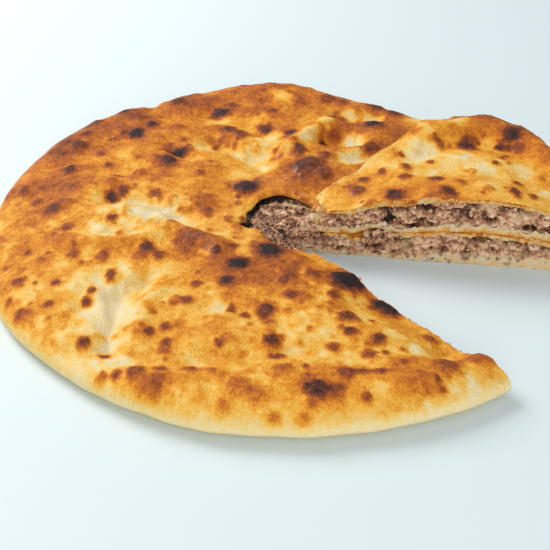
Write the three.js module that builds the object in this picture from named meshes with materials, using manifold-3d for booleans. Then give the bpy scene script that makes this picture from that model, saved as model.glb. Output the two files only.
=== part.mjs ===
// A round filled flatbread: a thin dough crust closed round a layer of minced meat, with a steam vent in
// the middle. One wedge has been cut out and its slice lies on top of the pie, beside the gap it left.
// Millimetres, +Z up. The pie rests on z = 0.
import * as THREE from "three";
import { mergeVertices } from "three/addons/utils/BufferGeometryUtils.js";
import Module from "manifold-3d";

// Driving sizes of the pie
const PIE_RADIUS = 160;
const CENTRE_HEIGHT = 13; // the pie is thinnest at its vent,
const SHOULDER_HEIGHT = 17.5; // thickest half way out,
const RIM_HEIGHT = 15.5; // and a little lower along its rim
const TOP_CRUST = 2;
const BOTTOM_CRUST = 3.2;
const LEAST_ROOF = 6; // lowest the underside of the top crust comes
const RIM_WALL = 15; // solid dough between the filling and the edge
const CLEARANCE = 0.5; // between crust and filling, and between slice and pie

// The outline is a little out of round: each term adds lobes, the first of them toward an angle in degrees
const OUT_OF_ROUND = [
  { lobes: 2, share: 0.042, toward: 135 },
  { lobes: 3, share: 0.018, toward: -11 },
  { lobes: 7, share: 0.004, toward: 100 },
];

// Where the outline swells or is pulled in: middle and width in degrees, and the change of radius
const OUTLINE_SWELLS = [
  { toward: -45, width: 13, rise: -4 },
  { toward: -68, width: 14, rise: -2.5 },
  { toward: -95, width: 28, rise: -2 },
  { toward: -128, width: 20, rise: -1.5 },
  { toward: 121, width: 6, rise: -3 },
  { toward: 92, width: 18, rise: 3 },
  { toward: 64, width: 6, rise: -3 },
];

// Cuts: the gap runs clockwise from one cut to the other, and both start at the same point before the vent
const CUT_START = [-4, -9.7];
const BACK_CUT = -7.5; // degrees
const FRONT_CUT = -48.2;
const SAG = { depth: 9, width: 18, from: 80, to: 123, rampIn: 30, rampOut: 24 }; // along the front cut

// Lip of the vent, which has torn open as far as the cuts and a little to its left: directions in degrees,
// from the back cut round to the front cut, and how far the lip is from where the cuts start
const VENT_LIP = [
  [-7.5, 26], [30, 26], [57, 33], [82, 35], [100, 33], [123, 24.5], [148, 18.5], [160, 20],
  [167, 25], [174, 18.5], [190, 9], [220, 9], [270, 13.6], [300, 20], [311.8, 28],
];

// Pillows that gas has raised in the crust: middle, radius and height
const PILLOWS = [
  { x: -16, y: -38, radius: 26, rise: 3.4 }, // blistered bulge before the vent
  { x: 102, y: -22, radius: 34, rise: 2.2 }, // full shoulder under the slice
  { x: -4, y: 32, radius: 13, rise: 2.2 }, // back lip of the vent
  { x: 20, y: 48, radius: 20, rise: 3.0 }, // behind the vent
  { x: 58, y: 88, radius: 14, rise: 3.4 }, // blistered bulge at the back right
  { x: -46, y: 34, radius: 20, rise: 2.6 }, // left of the vent
  { x: -58, y: -17, radius: 9, rise: 1.6 }, // peak of the long crest
  { x: -108, y: 12, radius: 36, rise: 2.2 },
  { x: -78, y: 92, radius: 30, rise: 2.4 },
  { x: 8, y: 146, radius: 36, rise: 5.5 }, // raised rim at the back
  { x: 62, y: 122, radius: 24, rise: 2.6 },
  { x: -20, y: -92, radius: 26, rise: 1.6 },
  { x: -112, y: -62, radius: 26, rise: 1.6 },
  { x: 10, y: -82, radius: 20, rise: 1.2 },
  { x: 43, y: -16, radius: 9, rise: -4.4 }, // dips along the back cut
  { x: 64, y: -18, radius: 12, rise: -1.2 },
  { x: 96, y: -120, radius: 14, rise: -2 }, // end of the front rim
];

// Folds in the crust: a rise above or below the pillows, along a path of a few points
const FOLDS = [
  // long crest left of the vent
  { path: [[-112, -29], [-84, -32], [-72, -28], [-58, -16], [-48, -21], [-34, -34]], width: 6, rise: 3.8 },
  { path: [[-92, 16], [-72, 14], [-58, 6], [-54, -4]], width: 8, rise: -5.6 }, // valley behind that crest
  { path: [[-66, -60], [-78, -80], [-79, -108]], width: 6, rise: -4.8 }, // groove to the front left
  { path: [[-58, -66], [-66, -84], [-66, -106]], width: 5, rise: 2.0 }, // crest beside the groove
  { path: [[-94, -82], [-80, -72]], width: 5, rise: -2.4 },
  // inner edge of the front rim
  { path: [[-97, -112], [-80, -114], [-54, -124], [-28, -120], [3, -114], [72, -110]], width: 6, rise: -2.4 },
  { path: [[-62, -134], [10, -136], [74, -125]], width: 11, rise: 1.8 }, // roll of the front rim
  { path: [[-42, 81], [-22, 68], [-6, 67]], width: 8, rise: -5.4 }, // valley behind the vent
  { path: [[-18, 62], [-11, 52]], width: 6, rise: -2.4 },
  { path: [[-67, 72], [-53, 60]], width: 3.5, rise: -4.4 }, // slit to the back left
  { path: [[-1, 69], [11, 83], [24, 97], [34, 106]], width: 5, rise: 4.2 }, // crest to the back right
  { path: [[28, 86], [44, 85]], width: 8, rise: -6.4 }, // hollow beside that crest
  { path: [[36, 110], [58, 113]], width: 6, rise: -4.4 }, // valley behind that crest
  { path: [[38, 58], [56, 66]], width: 6, rise: -3 }, // valley beside the slice
  { path: [[-48, 116], [-24, 106], [-12, 92]], width: 7, rise: -2.6 },
  { path: [[-92, 148], [-72, 112]], width: 9, rise: -2.8 }, // dent in the back left rim
  { path: [[-37, -82], [-22, -86], [-10, -93]], width: 3.5, rise: -2.6 },
  { path: [[4, -24], [14, -32], [30, -50]], width: 9, rise: -2.6 }, // edge that hangs along the front cut
];

// The slice: its tip, its two cuts and its length toward each, and the folds of its own crust
const SLICE = { x: 9, y: -11.8, right: -7.4, left: 45, rightLength: 157, leftLength: 143, rimHeight: 16.5 };
const SLICE_TIP_HEIGHT = 15.5;
const SLICE_MIDDLE_HEIGHT = 19;
const SLICE_LIFT = { x: 43, y: -16, radius: 11, rise: 5.4 }; // it bridges a dip in the pie's edge
const BARE_TIP = { radius: 12, drop: 7 }; // at its tip the slice has lost its top crust and some meat
const SLICE_FOLDS = [
  { path: [[64, 40], [96, 56], [118, 52]], width: 8, rise: -2.6 }, // inner edge of its rim
  { path: [[70, 62], [106, 72], [130, 52]], width: 12, rise: 2.2 }, // roll of its rim
  { path: [[34, -2], [60, 2], [92, 0]], width: 14, rise: 1.4 },
  { path: [[70, 22], [120, 16]], width: 10, rise: -1.4 },
  { path: [[28, 34], [36, 30]], width: 8, rise: -3 }, // dent in its left edge
  { path: [[14, -3], [36, -5]], width: 9, rise: -3.2 }, // droops over the meat
];

// How finely the solids are faceted
const PIE_SEGMENTS = 100;
const FILLING_SEGMENTS = 64;
const SLICE_SEGMENTS = 96;
const LIP_STEP = 6; // degrees between points of the vent's lip
const TIP_SIDES = 28;
const CRUMB_RELIEF = 0.9; // crags of the minced meat where a cut or the vent shows it
const CRUMB_PITCH = 5;

// A section through the dough, from the middle of its foot out round the rim to the middle of its top.
// Each point is a share of the outline's radius and a share of the local height.
const CRUST_SECTION = [
  [0, 0], [0.45, 0], [0.8, 0], [0.93, 0], [0.965, 0.05], [0.988, 0.17], [1, 0.36], [0.995, 0.55], [0.98, 0.74],
  [0.955, 0.9], [0.92, 0.99], [0.87, 1], [0.81, 1], [0.745, 1], [0.68, 1], [0.615, 1], [0.55, 1], [0.485, 1],
  [0.42, 1], [0.355, 1], [0.29, 1], [0.225, 1], [0.16, 1], [0.09, 1], [0, 1],
];
const FOOT_STEPS = 10; // the slice's foot is curved, so its section has points along it too
const FILLING_SECTION = [
  [0, 0], [0.5, 0], [0.86, 0], [0.96, 0.14], [1, 0.5], [0.97, 0.84], [0.9, 1], [0.8, 1], [0.7, 1], [0.6, 1],
  [0.5, 1], [0.4, 1], [0.31, 1], [0.22, 1], [0.15, 1], [0.115, 1], [0.08, 1], [0.04, 1], [0, 1],
];

const footOf = (section) => [...Array(FOOT_STEPS).keys()].map((i) => [(section[2][0] * i) / FOOT_STEPS, 0]);
const curvedFoot = (section) => [...footOf(section), ...section.slice(2)];

const wasm = await Module();
wasm.setup();

// Shape of the pie

const radians = THREE.MathUtils.degToRad;
const wrapped = THREE.MathUtils.euclideanModulo;
const smooth = (x, low, high) => THREE.MathUtils.smoothstep(x, low, high);

const bell = (distance, width) => Math.exp(-((distance / width) ** 2));

function outline(angle) {
  const lobed = ({ lobes, share, toward }) => share * Math.cos(lobes * (angle - radians(toward)));
  const turn = (toward) => wrapped(angle - radians(toward) + Math.PI, 2 * Math.PI) - Math.PI;
  const round = PIE_RADIUS * OUT_OF_ROUND.reduce((sum, term) => sum + lobed(term), 1);
  return OUTLINE_SWELLS.reduce((sum, s) => sum + s.rise * bell(turn(s.toward), radians(s.width)), round);
}

function distanceToPath(x, y, path) {
  const point = new THREE.Vector3(x, y, 0);
  const near = new THREE.Vector3();
  let least = Infinity;
  for (let i = 1; i < path.length; i++) {
    const [from, to] = [path[i - 1], path[i]].map(([px, py]) => new THREE.Vector3(px, py, 0));
    new THREE.Line3(from, to).closestPointToPoint(point, true, near);
    least = Math.min(least, near.distanceTo(point));
  }
  return least;
}

function foldRelief(x, y, folds) {
  return folds.reduce((sum, { path, width, rise }) => sum + rise * bell(distanceToPath(x, y, path), width), 0);
}

// What the underside of the crust keeps of its folds: only the valleys, and those wider
function valleyRelief(x, y, folds) {
  const valleys = folds.filter(({ rise }) => rise < 0).map((fold) => ({ ...fold, width: 1.4 * fold.width }));
  return foldRelief(x, y, valleys);
}

function pillowRelief(x, y) {
  return PILLOWS.reduce((sum, p) => sum + p.rise * bell(Math.hypot(x - p.x, y - p.y), p.radius), 0);
}

// Distance of the vent's lip from where the cuts start
function lipAt(degrees) {
  const next = Math.max(1, VENT_LIP.findIndex(([toward]) => toward >= degrees));
  const [[from, near], [to, far]] = VENT_LIP.slice(next - 1, next + 1);
  return THREE.MathUtils.lerp(near, far, smooth(degrees, from, to));
}

// How far outside the vent's lip a place is
function pastLip(x, y) {
  const [dx, dy] = [x - CUT_START[0], y - CUT_START[1]];
  const toward = wrapped(THREE.MathUtils.radToDeg(Math.atan2(dy, dx)) - BACK_CUT, 360) + BACK_CUT;
  return Math.hypot(dx, dy) - lipAt(Math.min(toward, 360 + FRONT_CUT));
}

// How far the crust has sunk along the front cut
function sagAt(x, y) {
  const [dx, dy] = [x - CUT_START[0], y - CUT_START[1]];
  const along = dx * Math.cos(radians(FRONT_CUT)) + dy * Math.sin(radians(FRONT_CUT));
  const across = dx * Math.sin(radians(FRONT_CUT)) - dy * Math.cos(radians(FRONT_CUT));
  const sunk = smooth(along, SAG.from - SAG.rampIn, SAG.from);
  const raised = smooth(along, SAG.to, SAG.to + SAG.rampOut);
  return SAG.depth * (sunk - raised) * bell(across, SAG.width);
}

// Height of the crust's top before it is folded
function pieDome(x, y) {
  const share = Math.hypot(x, y) / outline(Math.atan2(y, x));
  const dome = (SHOULDER_HEIGHT - CENTRE_HEIGHT) * smooth(share, 0.06, 0.5);
  const fall = (SHOULDER_HEIGHT - RIM_HEIGHT) * smooth(share, 0.64, 0.9);
  return CENTRE_HEIGHT + dome - fall + pillowRelief(x, y) - sagAt(x, y);
}

const pieTop = (x, y) => pieDome(x, y) + foldRelief(x, y, FOLDS);
const pieRoof = (x, y) => Math.max(LEAST_ROOF, pieDome(x, y) + valleyRelief(x, y, FOLDS) - TOP_CRUST);

// Shape of the slice, measured from its tip

function sliceLength(angle) {
  const turn = smooth(angle, radians(8), radians(SLICE.left));
  return THREE.MathUtils.lerp(SLICE.rightLength, SLICE.leftLength, turn);
}

// The slice lies on the pie: its foot follows the pie's top, and past the pie's shoulder it lies level
function sliceFoot(x, y) {
  const [px, py] = [x + SLICE.x, y + SLICE.y];
  const held = Math.min(1, (0.84 * outline(Math.atan2(py, px))) / Math.hypot(px, py));
  const lift = SLICE_LIFT.rise * bell(Math.hypot(px - SLICE_LIFT.x, py - SLICE_LIFT.y), SLICE_LIFT.radius);
  return pieTop(px * held, py * held) + CLEARANCE + lift;
}

function sliceDome(x, y) {
  const share = Math.hypot(x, y) / sliceLength(Math.atan2(y, x));
  const dome = (SLICE_MIDDLE_HEIGHT - SLICE_TIP_HEIGHT) * smooth(share, 0.04, 0.45);
  const fall = (SLICE_MIDDLE_HEIGHT - SLICE.rimHeight) * smooth(share, 0.7, 0.88);
  return SLICE_TIP_HEIGHT + dome - fall;
}

const sliceTop = (x, y) => sliceDome(x, y) + foldRelief(x, y, SLICE_FOLDS);
const sliceRoof = (x, y) => Math.max(LEAST_ROOF, sliceDome(x, y) + valleyRelief(x, y, SLICE_FOLDS) - TOP_CRUST);

// Solids

function solidFrom(geometry) {
  geometry.deleteAttribute("normal");
  geometry.deleteAttribute("uv");
  const merged = mergeVertices(geometry, 1e-3);
  const corners = merged.index.array;
  const kept = [];
  for (let i = 0; i < corners.length; i += 3) {
    const [a, b, c] = corners.slice(i, i + 3);
    if (a !== b && b !== c && c !== a) kept.push(a, b, c);
  }
  const vertProperties = new Float32Array(merged.attributes.position.array);
  return new wasm.Manifold(new wasm.Mesh({ numProp: 3, vertProperties, triVerts: new Uint32Array(kept) }));
}

// A closed body turned from a section in shares, each point then set in its place
function turned(section, segments, place) {
  const points = section.map(([share, level]) => new THREE.Vector2(share, level));
  const body = new THREE.LatheGeometry(points, segments).rotateX(Math.PI / 2);
  const position = body.attributes.position;
  for (let i = 0; i < position.count; i++) {
    const angle = Math.atan2(position.getY(i), position.getX(i));
    const share = Math.hypot(position.getX(i), position.getY(i));
    position.setXYZ(i, ...place(share, angle, position.getZ(i)));
  }
  return solidFrom(body);
}

function crags(x, y, z) {
  return Math.sin(1.25 * x + 0.4) * Math.sin(1.35 * y + 1.9) + 0.6 * Math.sin(1.15 * z + 0.9 * x);
}

// An upright wedge between two angles. Its walls can be craggy, to leave the torn look of minced meat.
function wedge([x, y], from, to, { relief = 0, reach = 230, low = -8, high = 70 } = {}) {
  const pitch = relief ? CRUMB_PITCH : reach;
  const count = Math.ceil(reach / pitch);
  const ray = (degrees, i) => {
    const distance = (reach * i) / count;
    return new THREE.Vector2(distance * Math.cos(radians(degrees)), distance * Math.sin(radians(degrees)));
  };
  const edge = [...Array(count).keys()].map((i) => i + 1);
  const shape = new THREE.Shape([
    ray(0, 0),
    ...edge.map((i) => ray(from, i)),
    ...edge.reverse().map((i) => ray(to, i)),
  ]);
  const steps = relief ? Math.ceil((high - low) / CRUMB_PITCH) : 1;
  const body = new THREE.ExtrudeGeometry(shape, { depth: high - low, steps, bevelEnabled: false });
  const position = body.attributes.position;
  const middle = radians((from + to) / 2 + 90);
  for (let i = 0; i < position.count; i++) {
    const [px, py, pz] = [position.getX(i), position.getY(i), position.getZ(i)];
    const push = relief * crags(px, py, pz) * smooth(Math.hypot(px, py), 0, 12);
    position.setXYZ(i, px + x + push * Math.cos(middle), py + y + push * Math.sin(middle), pz + low);
  }
  return solidFrom(body);
}

// Clears the vent's opening out of the top crust
function ventHole(low) {
  const sweep = 360 + FRONT_CUT - BACK_CUT;
  const count = Math.round(sweep / LIP_STEP);
  const lip = [...Array(count + 1).keys()].map((i) => {
    const degrees = BACK_CUT + (sweep * i) / count;
    return new THREE.Vector2(lipAt(degrees), 0).rotateAround(new THREE.Vector2(), radians(degrees));
  });
  const body = new THREE.ExtrudeGeometry(new THREE.Shape(lip), { depth: 60, bevelEnabled: false });
  return solidFrom(body.translate(CUT_START[0], CUT_START[1], low));
}

// The pie

function placedInPie(rimWall, floor, top) {
  return (share, angle, level) => {
    const distance = share * (outline(angle) - rimWall);
    const [x, y] = [distance * Math.cos(angle), distance * Math.sin(angle)];
    return [x, y, floor + level * (top(x, y) - floor)];
  };
}

const cleared = (roof) => (x, y) => roof(x, y) - CLEARANCE;

// Where the vent leaves it bare, the meat is craggy
function placedFilling(share, angle, level) {
  const place = placedInPie(RIM_WALL + CLEARANCE, BOTTOM_CRUST + CLEARANCE, cleared(pieRoof));
  const [x, y, z] = place(share, angle, level);
  const bare = level * (1 - smooth(pastLip(x, y), -6, 0));
  return [x, y, z + bare * (CRUMB_RELIEF * crags(x, y, z) - 0.6)];
}

function pieCrust() {
  const outside = turned(CRUST_SECTION, PIE_SEGMENTS, placedInPie(0, 0, pieTop));
  const hollow = turned(FILLING_SECTION, FILLING_SEGMENTS, placedInPie(RIM_WALL, BOTTOM_CRUST, pieRoof));
  const vent = ventHole(LEAST_ROOF - 1);
  return outside.subtract(hollow).subtract(vent).subtract(wedge(CUT_START, FRONT_CUT, BACK_CUT));
}

function pieFilling() {
  const meat = turned(FILLING_SECTION, FILLING_SEGMENTS, placedFilling);
  return meat.subtract(wedge(CUT_START, FRONT_CUT, BACK_CUT, { relief: CRUMB_RELIEF, high: 30 }));
}

// The slice

function placedInSlice(rimWall, floor, top) {
  return (share, angle, level) => {
    const distance = share * (sliceLength(angle) - rimWall);
    const [x, y] = [distance * Math.cos(angle), distance * Math.sin(angle)];
    const height = level * (top(x, y) - floor);
    return [x + SLICE.x, y + SLICE.y, sliceFoot(x, y) + floor + height];
  };
}

// Clears the top crust off the slice's tip
function tipHole() {
  const [height, low] = [60, sliceFoot(BARE_TIP.radius, 0) + BOTTOM_CRUST + CLEARANCE];
  const round = new THREE.CylinderGeometry(BARE_TIP.radius, BARE_TIP.radius, height, TIP_SIDES);
  return solidFrom(round.rotateX(Math.PI / 2).translate(SLICE.x, SLICE.y, low + height / 2));
}

function slopedTip(x, y) {
  const slope = 1 - smooth(Math.hypot(x, y), 0.3 * BARE_TIP.radius, 1.2 * BARE_TIP.radius);
  return sliceRoof(x, y) - CLEARANCE - BARE_TIP.drop * slope;
}

function sliceCrust() {
  const outside = turned(curvedFoot(CRUST_SECTION), SLICE_SEGMENTS, placedInSlice(0, 0, sliceTop));
  const inside = placedInSlice(RIM_WALL, BOTTOM_CRUST, sliceRoof);
  const hollow = turned(curvedFoot(FILLING_SECTION), SLICE_SEGMENTS, inside);
  const whole = outside.subtract(hollow).subtract(tipHole());
  return whole.intersect(wedge([SLICE.x, SLICE.y], SLICE.right, SLICE.left));
}

function sliceFilling() {
  const place = placedInSlice(RIM_WALL + CLEARANCE, BOTTOM_CRUST + CLEARANCE, slopedTip);
  const meat = turned(curvedFoot(FILLING_SECTION), SLICE_SEGMENTS, place);
  return meat.intersect(wedge([SLICE.x, SLICE.y], SLICE.right, SLICE.left, { relief: CRUMB_RELIEF }));
}

// The model

const crustMaterial = new THREE.MeshStandardMaterial({ color: 0xd9933f, roughness: 0.6, metalness: 0 });
const fillingMaterial = new THREE.MeshStandardMaterial({ color: 0x8d7266, roughness: 0.75, metalness: 0 });

function meshOf(name, solid, material) {
  const { vertProperties, triVerts } = solid.getMesh();
  const geometry = new THREE.BufferGeometry();
  geometry.setAttribute("position", new THREE.BufferAttribute(vertProperties, 3));
  geometry.setIndex(new THREE.BufferAttribute(triVerts, 1));
  geometry.computeVertexNormals();
  const mesh = new THREE.Mesh(geometry, material);
  mesh.name = name;
  return mesh;
}

const pie = new THREE.Group();
pie.add(
  meshOf("pie_crust", pieCrust(), crustMaterial),
  meshOf("pie_filling", pieFilling(), fillingMaterial),
  meshOf("slice_crust", sliceCrust(), crustMaterial),
  meshOf("slice_filling", sliceFilling(), fillingMaterial),
);

// The origin is under the middle of the whole
const middle = new THREE.Box3().setFromObject(pie).getCenter(new THREE.Vector3());
pie.position.set(-middle.x, -middle.y, 0);

export default new THREE.Group().add(pie);
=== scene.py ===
# %% [markdown]
# # A filled flatbread, cut open
# This lesson dresses a round meat pie: a thin baked crust closed round minced meat, with a steam vent
# in the middle. One wedge has been cut out and lies on top of the pie. The imported CAD model gives the
# frame that all pieces keep to. We load it first.

import itertools
import math

import bmesh
import bpy
import numpy as np
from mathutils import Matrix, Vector
from mathutils.geometry import tessellate_polygon


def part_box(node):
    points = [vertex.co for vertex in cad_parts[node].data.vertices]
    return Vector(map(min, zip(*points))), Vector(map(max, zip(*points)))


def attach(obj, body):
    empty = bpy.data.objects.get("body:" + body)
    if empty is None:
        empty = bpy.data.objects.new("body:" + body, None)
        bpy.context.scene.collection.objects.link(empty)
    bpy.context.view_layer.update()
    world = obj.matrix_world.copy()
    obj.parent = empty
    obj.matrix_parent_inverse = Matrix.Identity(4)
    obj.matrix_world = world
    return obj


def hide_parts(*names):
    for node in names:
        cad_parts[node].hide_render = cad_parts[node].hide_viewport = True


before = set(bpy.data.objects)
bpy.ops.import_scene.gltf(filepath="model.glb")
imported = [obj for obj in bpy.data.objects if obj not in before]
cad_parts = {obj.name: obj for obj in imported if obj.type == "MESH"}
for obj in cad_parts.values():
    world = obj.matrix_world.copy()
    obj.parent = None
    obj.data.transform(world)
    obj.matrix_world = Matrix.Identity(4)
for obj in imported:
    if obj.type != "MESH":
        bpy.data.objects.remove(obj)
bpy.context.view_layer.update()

# %% [markdown]
# ## Sizes
# All sizes are in millimetres, and nearly all are the ones that the CAD model was made from; only a
# few folds of the rims stand some millimetres higher here. The pie is thinnest at its vent, thickest
# half way out, and a little lower along its rim. The outline is nearly round, with a few lobes and
# swells, because such a pie is pressed out by hand.

# %% Sizes of the pie
MM = 0.001
PIE_RADIUS = 160
CENTRE_HEIGHT = 13
SHOULDER_HEIGHT = 17.5
RIM_HEIGHT = 15.5
TOP_CRUST, SLICE_TOP_CRUST = 2.2, 1.6
BOTTOM_CRUST = 3.2
LEAST_ROOF = 6
RIM_WALL = 15

OUT_OF_ROUND = [(2, 0.042, 135), (3, 0.018, -11), (7, 0.004, 100)]  # lobes, share of the radius, toward
OUTLINE_SWELLS = [  # toward, width, rise
    (-45, 13, -4), (-68, 14, -2.5), (-95, 28, -2), (-128, 20, -1.5),
    (121, 6, -3), (92, 18, 3), (64, 6, -3),
]

CUT_START = (-4, -9.7)
BACK_CUT = -7.5
FRONT_CUT = -48.2
VENT_X, VENT_Y = -1, 9
VENT_LIP = [  # direction from the back cut round to the front cut, distance from where the cuts start
    (-7.5, 26), (30, 26), (57, 33), (82, 35), (100, 33), (123, 24.5), (148, 18.5), (160, 20), (167, 25),
    (174, 18.5), (190, 9), (220, 9), (270, 13.6), (300, 20), (311.8, 28),
]
print("The gap opens", round(BACK_CUT - FRONT_CUT, 1), "degrees")

# %% [markdown]
# ## Curves and noise
# Three small helpers shape everything: a smooth step, a bell for bulges and creases, and a soft noise.
# The noise blends random numbers on a lattice, so one seed always gives the same pie. A fourth helper,
# the lump noise, measures how far a point is from the nearest of many scattered seeds, which is how
# minced meat is made up.

# %% Curves and noise
LATTICE = 48
lattice_values = np.random.default_rng(11).random((LATTICE,) * 3)
lattice_seeds = np.random.default_rng(12).random((LATTICE,) * 3 + (3,))


def smooth(x, low, high):
    t = np.clip((x - low) / (high - low), 0, 1)
    return t * t * (3 - 2 * t)


def bell(distance, width):
    return np.exp(-((distance / width) ** 2))


def soft_noise(x, y, z, size):
    """Seeded noise from -1 to 1, with lumps of about that size. A fixed z picks one layer of it."""
    place = np.stack(np.broadcast_arrays(x, y, z), -1) / size
    cell = np.floor(place).astype(int)
    part = place - cell
    part = part * part * (3 - 2 * part)
    total = np.zeros(place.shape[:-1])
    for corner in itertools.product((0, 1), repeat=3):
        at = np.moveaxis((cell + corner) % LATTICE, -1, 0)
        weight = np.prod(np.where(np.array(corner) == 1, part, 1 - part), -1)
        total += weight * lattice_values[at[0], at[1], at[2]]
    return 2 * total - 1


def lump_noise(x, y, z, size):
    """Distance to the nearest scattered seed: 0 in the middle of a lump, about 1 in the gaps."""
    place = np.stack(np.broadcast_arrays(x, y, z), -1) / size
    cell = np.floor(place).astype(int)
    least = np.full(place.shape[:-1], np.inf)
    for step in itertools.product((-1, 0, 1), repeat=3):
        near = cell + step
        at = np.moveaxis(near % LATTICE, -1, 0)
        seed = near + lattice_seeds[at[0], at[1], at[2]]
        least = np.minimum(least, np.linalg.norm(place - seed, axis=-1))
    return least


def layered_noise(x, y, layers):
    """Sum of noises over a plane. Each row has a strength, a layer and a size."""
    return sum(strength * soft_noise(x, y, layer, size) for strength, layer, size in layers)


print("Noise at the origin:", round(float(soft_noise(0.0, 0.0, 0.0, 5)), 3))

# %% [markdown]
# ## The outline
# The outline is a circle with lobes. The CAD model is centred on the whole of it, with the slice, so
# the pie's own centre is a little off the origin: we find by how much from the CAD crust's box.

# %% The outline
def outline(angle):
    radius = PIE_RADIUS * np.ones_like(angle)
    for lobes, share, toward in OUT_OF_ROUND:
        radius = radius + PIE_RADIUS * share * np.cos(lobes * (angle - math.radians(toward)))
    for toward, width, rise in OUTLINE_SWELLS:
        turn = (angle - math.radians(toward) + math.pi) % (2 * math.pi) - math.pi
        radius = radius + rise * bell(turn, math.radians(width))
    return radius


OUTLINE_STEPS = 3600
all_round = np.linspace(-math.pi, math.pi, OUTLINE_STEPS)
crust_low, crust_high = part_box("pie_crust")
shift_x = crust_low.x / MM - (outline(all_round) * np.cos(all_round)).min()
shift_y = crust_high.y / MM - (outline(all_round) * np.sin(all_round)).max()
print("The pie's centre is at", round(shift_x, 2), round(shift_y, 2))

# %% [markdown]
# ## Bulges
# Steam lifts the thin crust into pillows. They could be sculpted by hand, but a bell over a point is
# enough for each, and can be moved by changing a number. Along the front cut the crust has sunk,
# because the meat beneath it came away with the slice. A few bells with a negative rise are dents.

# %% Bulges of the pie
PILLOWS = [  # x, y, radius, rise
    (-16, -38, 26, 3.4), (102, -22, 34, 2.2), (-4, 32, 13, 2.2), (20, 48, 20, 3.0), (58, 88, 14, 3.4),
    (-46, 34, 20, 2.6), (-58, -17, 9, 1.6), (-108, 12, 36, 2.2), (-78, 92, 30, 2.4), (8, 146, 36, 5.5),
    (62, 122, 24, 2.6), (-20, -92, 26, 1.6), (-112, -62, 26, 1.6), (10, -82, 20, 1.2),
    (43, -16, 9, -4.4), (64, -18, 12, -1.2), (96, -120, 14, -2),
]
SAG_DEPTH, SAG_WIDTH, SAG_FROM, SAG_TO = 9, 18, 80, 123
SAG_RAMP_IN, SAG_RAMP_OUT = 30, 24


def pillow_relief(x, y):
    return sum(rise * bell(np.hypot(x - px, y - py), radius) for px, py, radius, rise in PILLOWS)


def sag_at(x, y):
    dx, dy = x - CUT_START[0], y - CUT_START[1]
    cut = math.radians(FRONT_CUT)
    along = dx * math.cos(cut) + dy * math.sin(cut)
    across = dx * math.sin(cut) - dy * math.cos(cut)
    sunk = smooth(along, SAG_FROM - SAG_RAMP_IN, SAG_FROM)
    raised = smooth(along, SAG_TO, SAG_TO + SAG_RAMP_OUT)
    return SAG_DEPTH * (sunk - raised) * bell(across, SAG_WIDTH)


print(len(PILLOWS), "pillows and dents")

# %% [markdown]
# ## Folds
# Where the steamed crust sinks back it creases. Each fold is a bell over a path of a few points: crests
# rise and valleys fall. Fine pleats lie in the valleys, on top of the folds.

# %% Folds of the pie
VALLEY_SPREAD = 1.4
PIE_FOLDS = [  # path, width, rise
    ([(-112, -29), (-84, -32), (-72, -28), (-58, -16), (-48, -21), (-34, -34)], 6, 3.8),
    ([(-92, 16), (-72, 14), (-58, 6), (-54, -4)], 8, -5.6),
    ([(-66, -60), (-78, -80), (-79, -108)], 6, -4.8),
    ([(-58, -66), (-66, -84), (-66, -106)], 5, 2.0),
    ([(-94, -82), (-80, -72)], 5, -2.4),
    ([(-97, -112), (-80, -114), (-54, -124), (-28, -120), (3, -114), (72, -110)], 6, -2.4),
    ([(-62, -134), (10, -136), (74, -125)], 11, 1.8),
    ([(-128, 76), (-110, 102), (-86, 122), (-58, 136), (-30, 145), (-4, 148)], 15, 3.4),
    ([(-42, 81), (-22, 68), (-6, 67)], 8, -5.4),
    ([(-18, 62), (-11, 52)], 6, -2.4),
    ([(-67, 72), (-53, 60)], 3.5, -4.4),
    ([(-1, 69), (11, 83), (24, 97), (34, 106)], 5, 4.2),
    ([(28, 86), (44, 85)], 8, -6.4),
    ([(36, 110), (58, 113)], 6, -4.4),
    ([(38, 58), (56, 66)], 6, -3),
    ([(-48, 116), (-24, 106), (-12, 92)], 7, -2.6),
    ([(-92, 148), (-72, 112)], 9, -2.8),
    ([(-37, -82), (-22, -86), (-10, -93)], 3.5, -2.6),
    ([(4, -24), (14, -32), (30, -50)], 9, -2.6),
]
PLEATS = [  # path, width, rise
    ([(-86, 6), (-74, 10), (-62, 12)], 2.6, 1.5),
    ([(-82, 20), (-70, 17)], 2.4, 1.1),
    ([(-66, 2), (-60, -6)], 2.6, 1.4),
    ([(-80, 1), (-70, -3), (-64, -10)], 2.4, -1.4),
    ([(-50, 6), (-46, -4)], 2.8, -1.6),
    ([(-34, 72), (-22, 60)], 2.6, 1.3),
    ([(-20, 74), (-10, 64)], 2.4, -1.2),
    ([(-12, 58), (-6, 48)], 2.4, 1.0),
    ([(40, 112), (54, 108)], 2.4, 1.2),
    ([(36, 90), (46, 80)], 2.6, -1.3),
    ([(-72, -74), (-74, -96)], 2.6, 1.2),
    ([(-88, -74), (-82, -92)], 2.6, 1.2),
    ([(-34, -85), (-20, -88)], 1.8, -1.0),
    ([(-2, -112), (10, -116)], 2.0, -1.2),
    ([(-104, 44), (-88, 40)], 3.0, -1.0),
    ([(-84, 66), (-70, 76), (-60, 90)], 3.0, -1.2),
]


def distance_to_path(x, y, path):
    least = np.full(np.shape(x), np.inf)
    for (ax, ay), (bx, by) in zip(path, path[1:]):
        along = ((x - ax) * (bx - ax) + (y - ay) * (by - ay)) / ((bx - ax) ** 2 + (by - ay) ** 2)
        along = np.clip(along, 0, 1)
        least = np.minimum(least, np.hypot(x - ax - along * (bx - ax), y - ay - along * (by - ay)))
    return least


def fold_relief(x, y, folds):
    return sum(rise * bell(distance_to_path(x, y, path), width) for path, width, rise in folds)


def valley_relief(x, y, folds):
    wide_valleys = [(path, VALLEY_SPREAD * width, rise) for path, width, rise in folds if rise < 0]
    return fold_relief(x, y, wide_valleys)


print(len(PIE_FOLDS), "folds and", len(PLEATS), "pleats")

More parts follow.
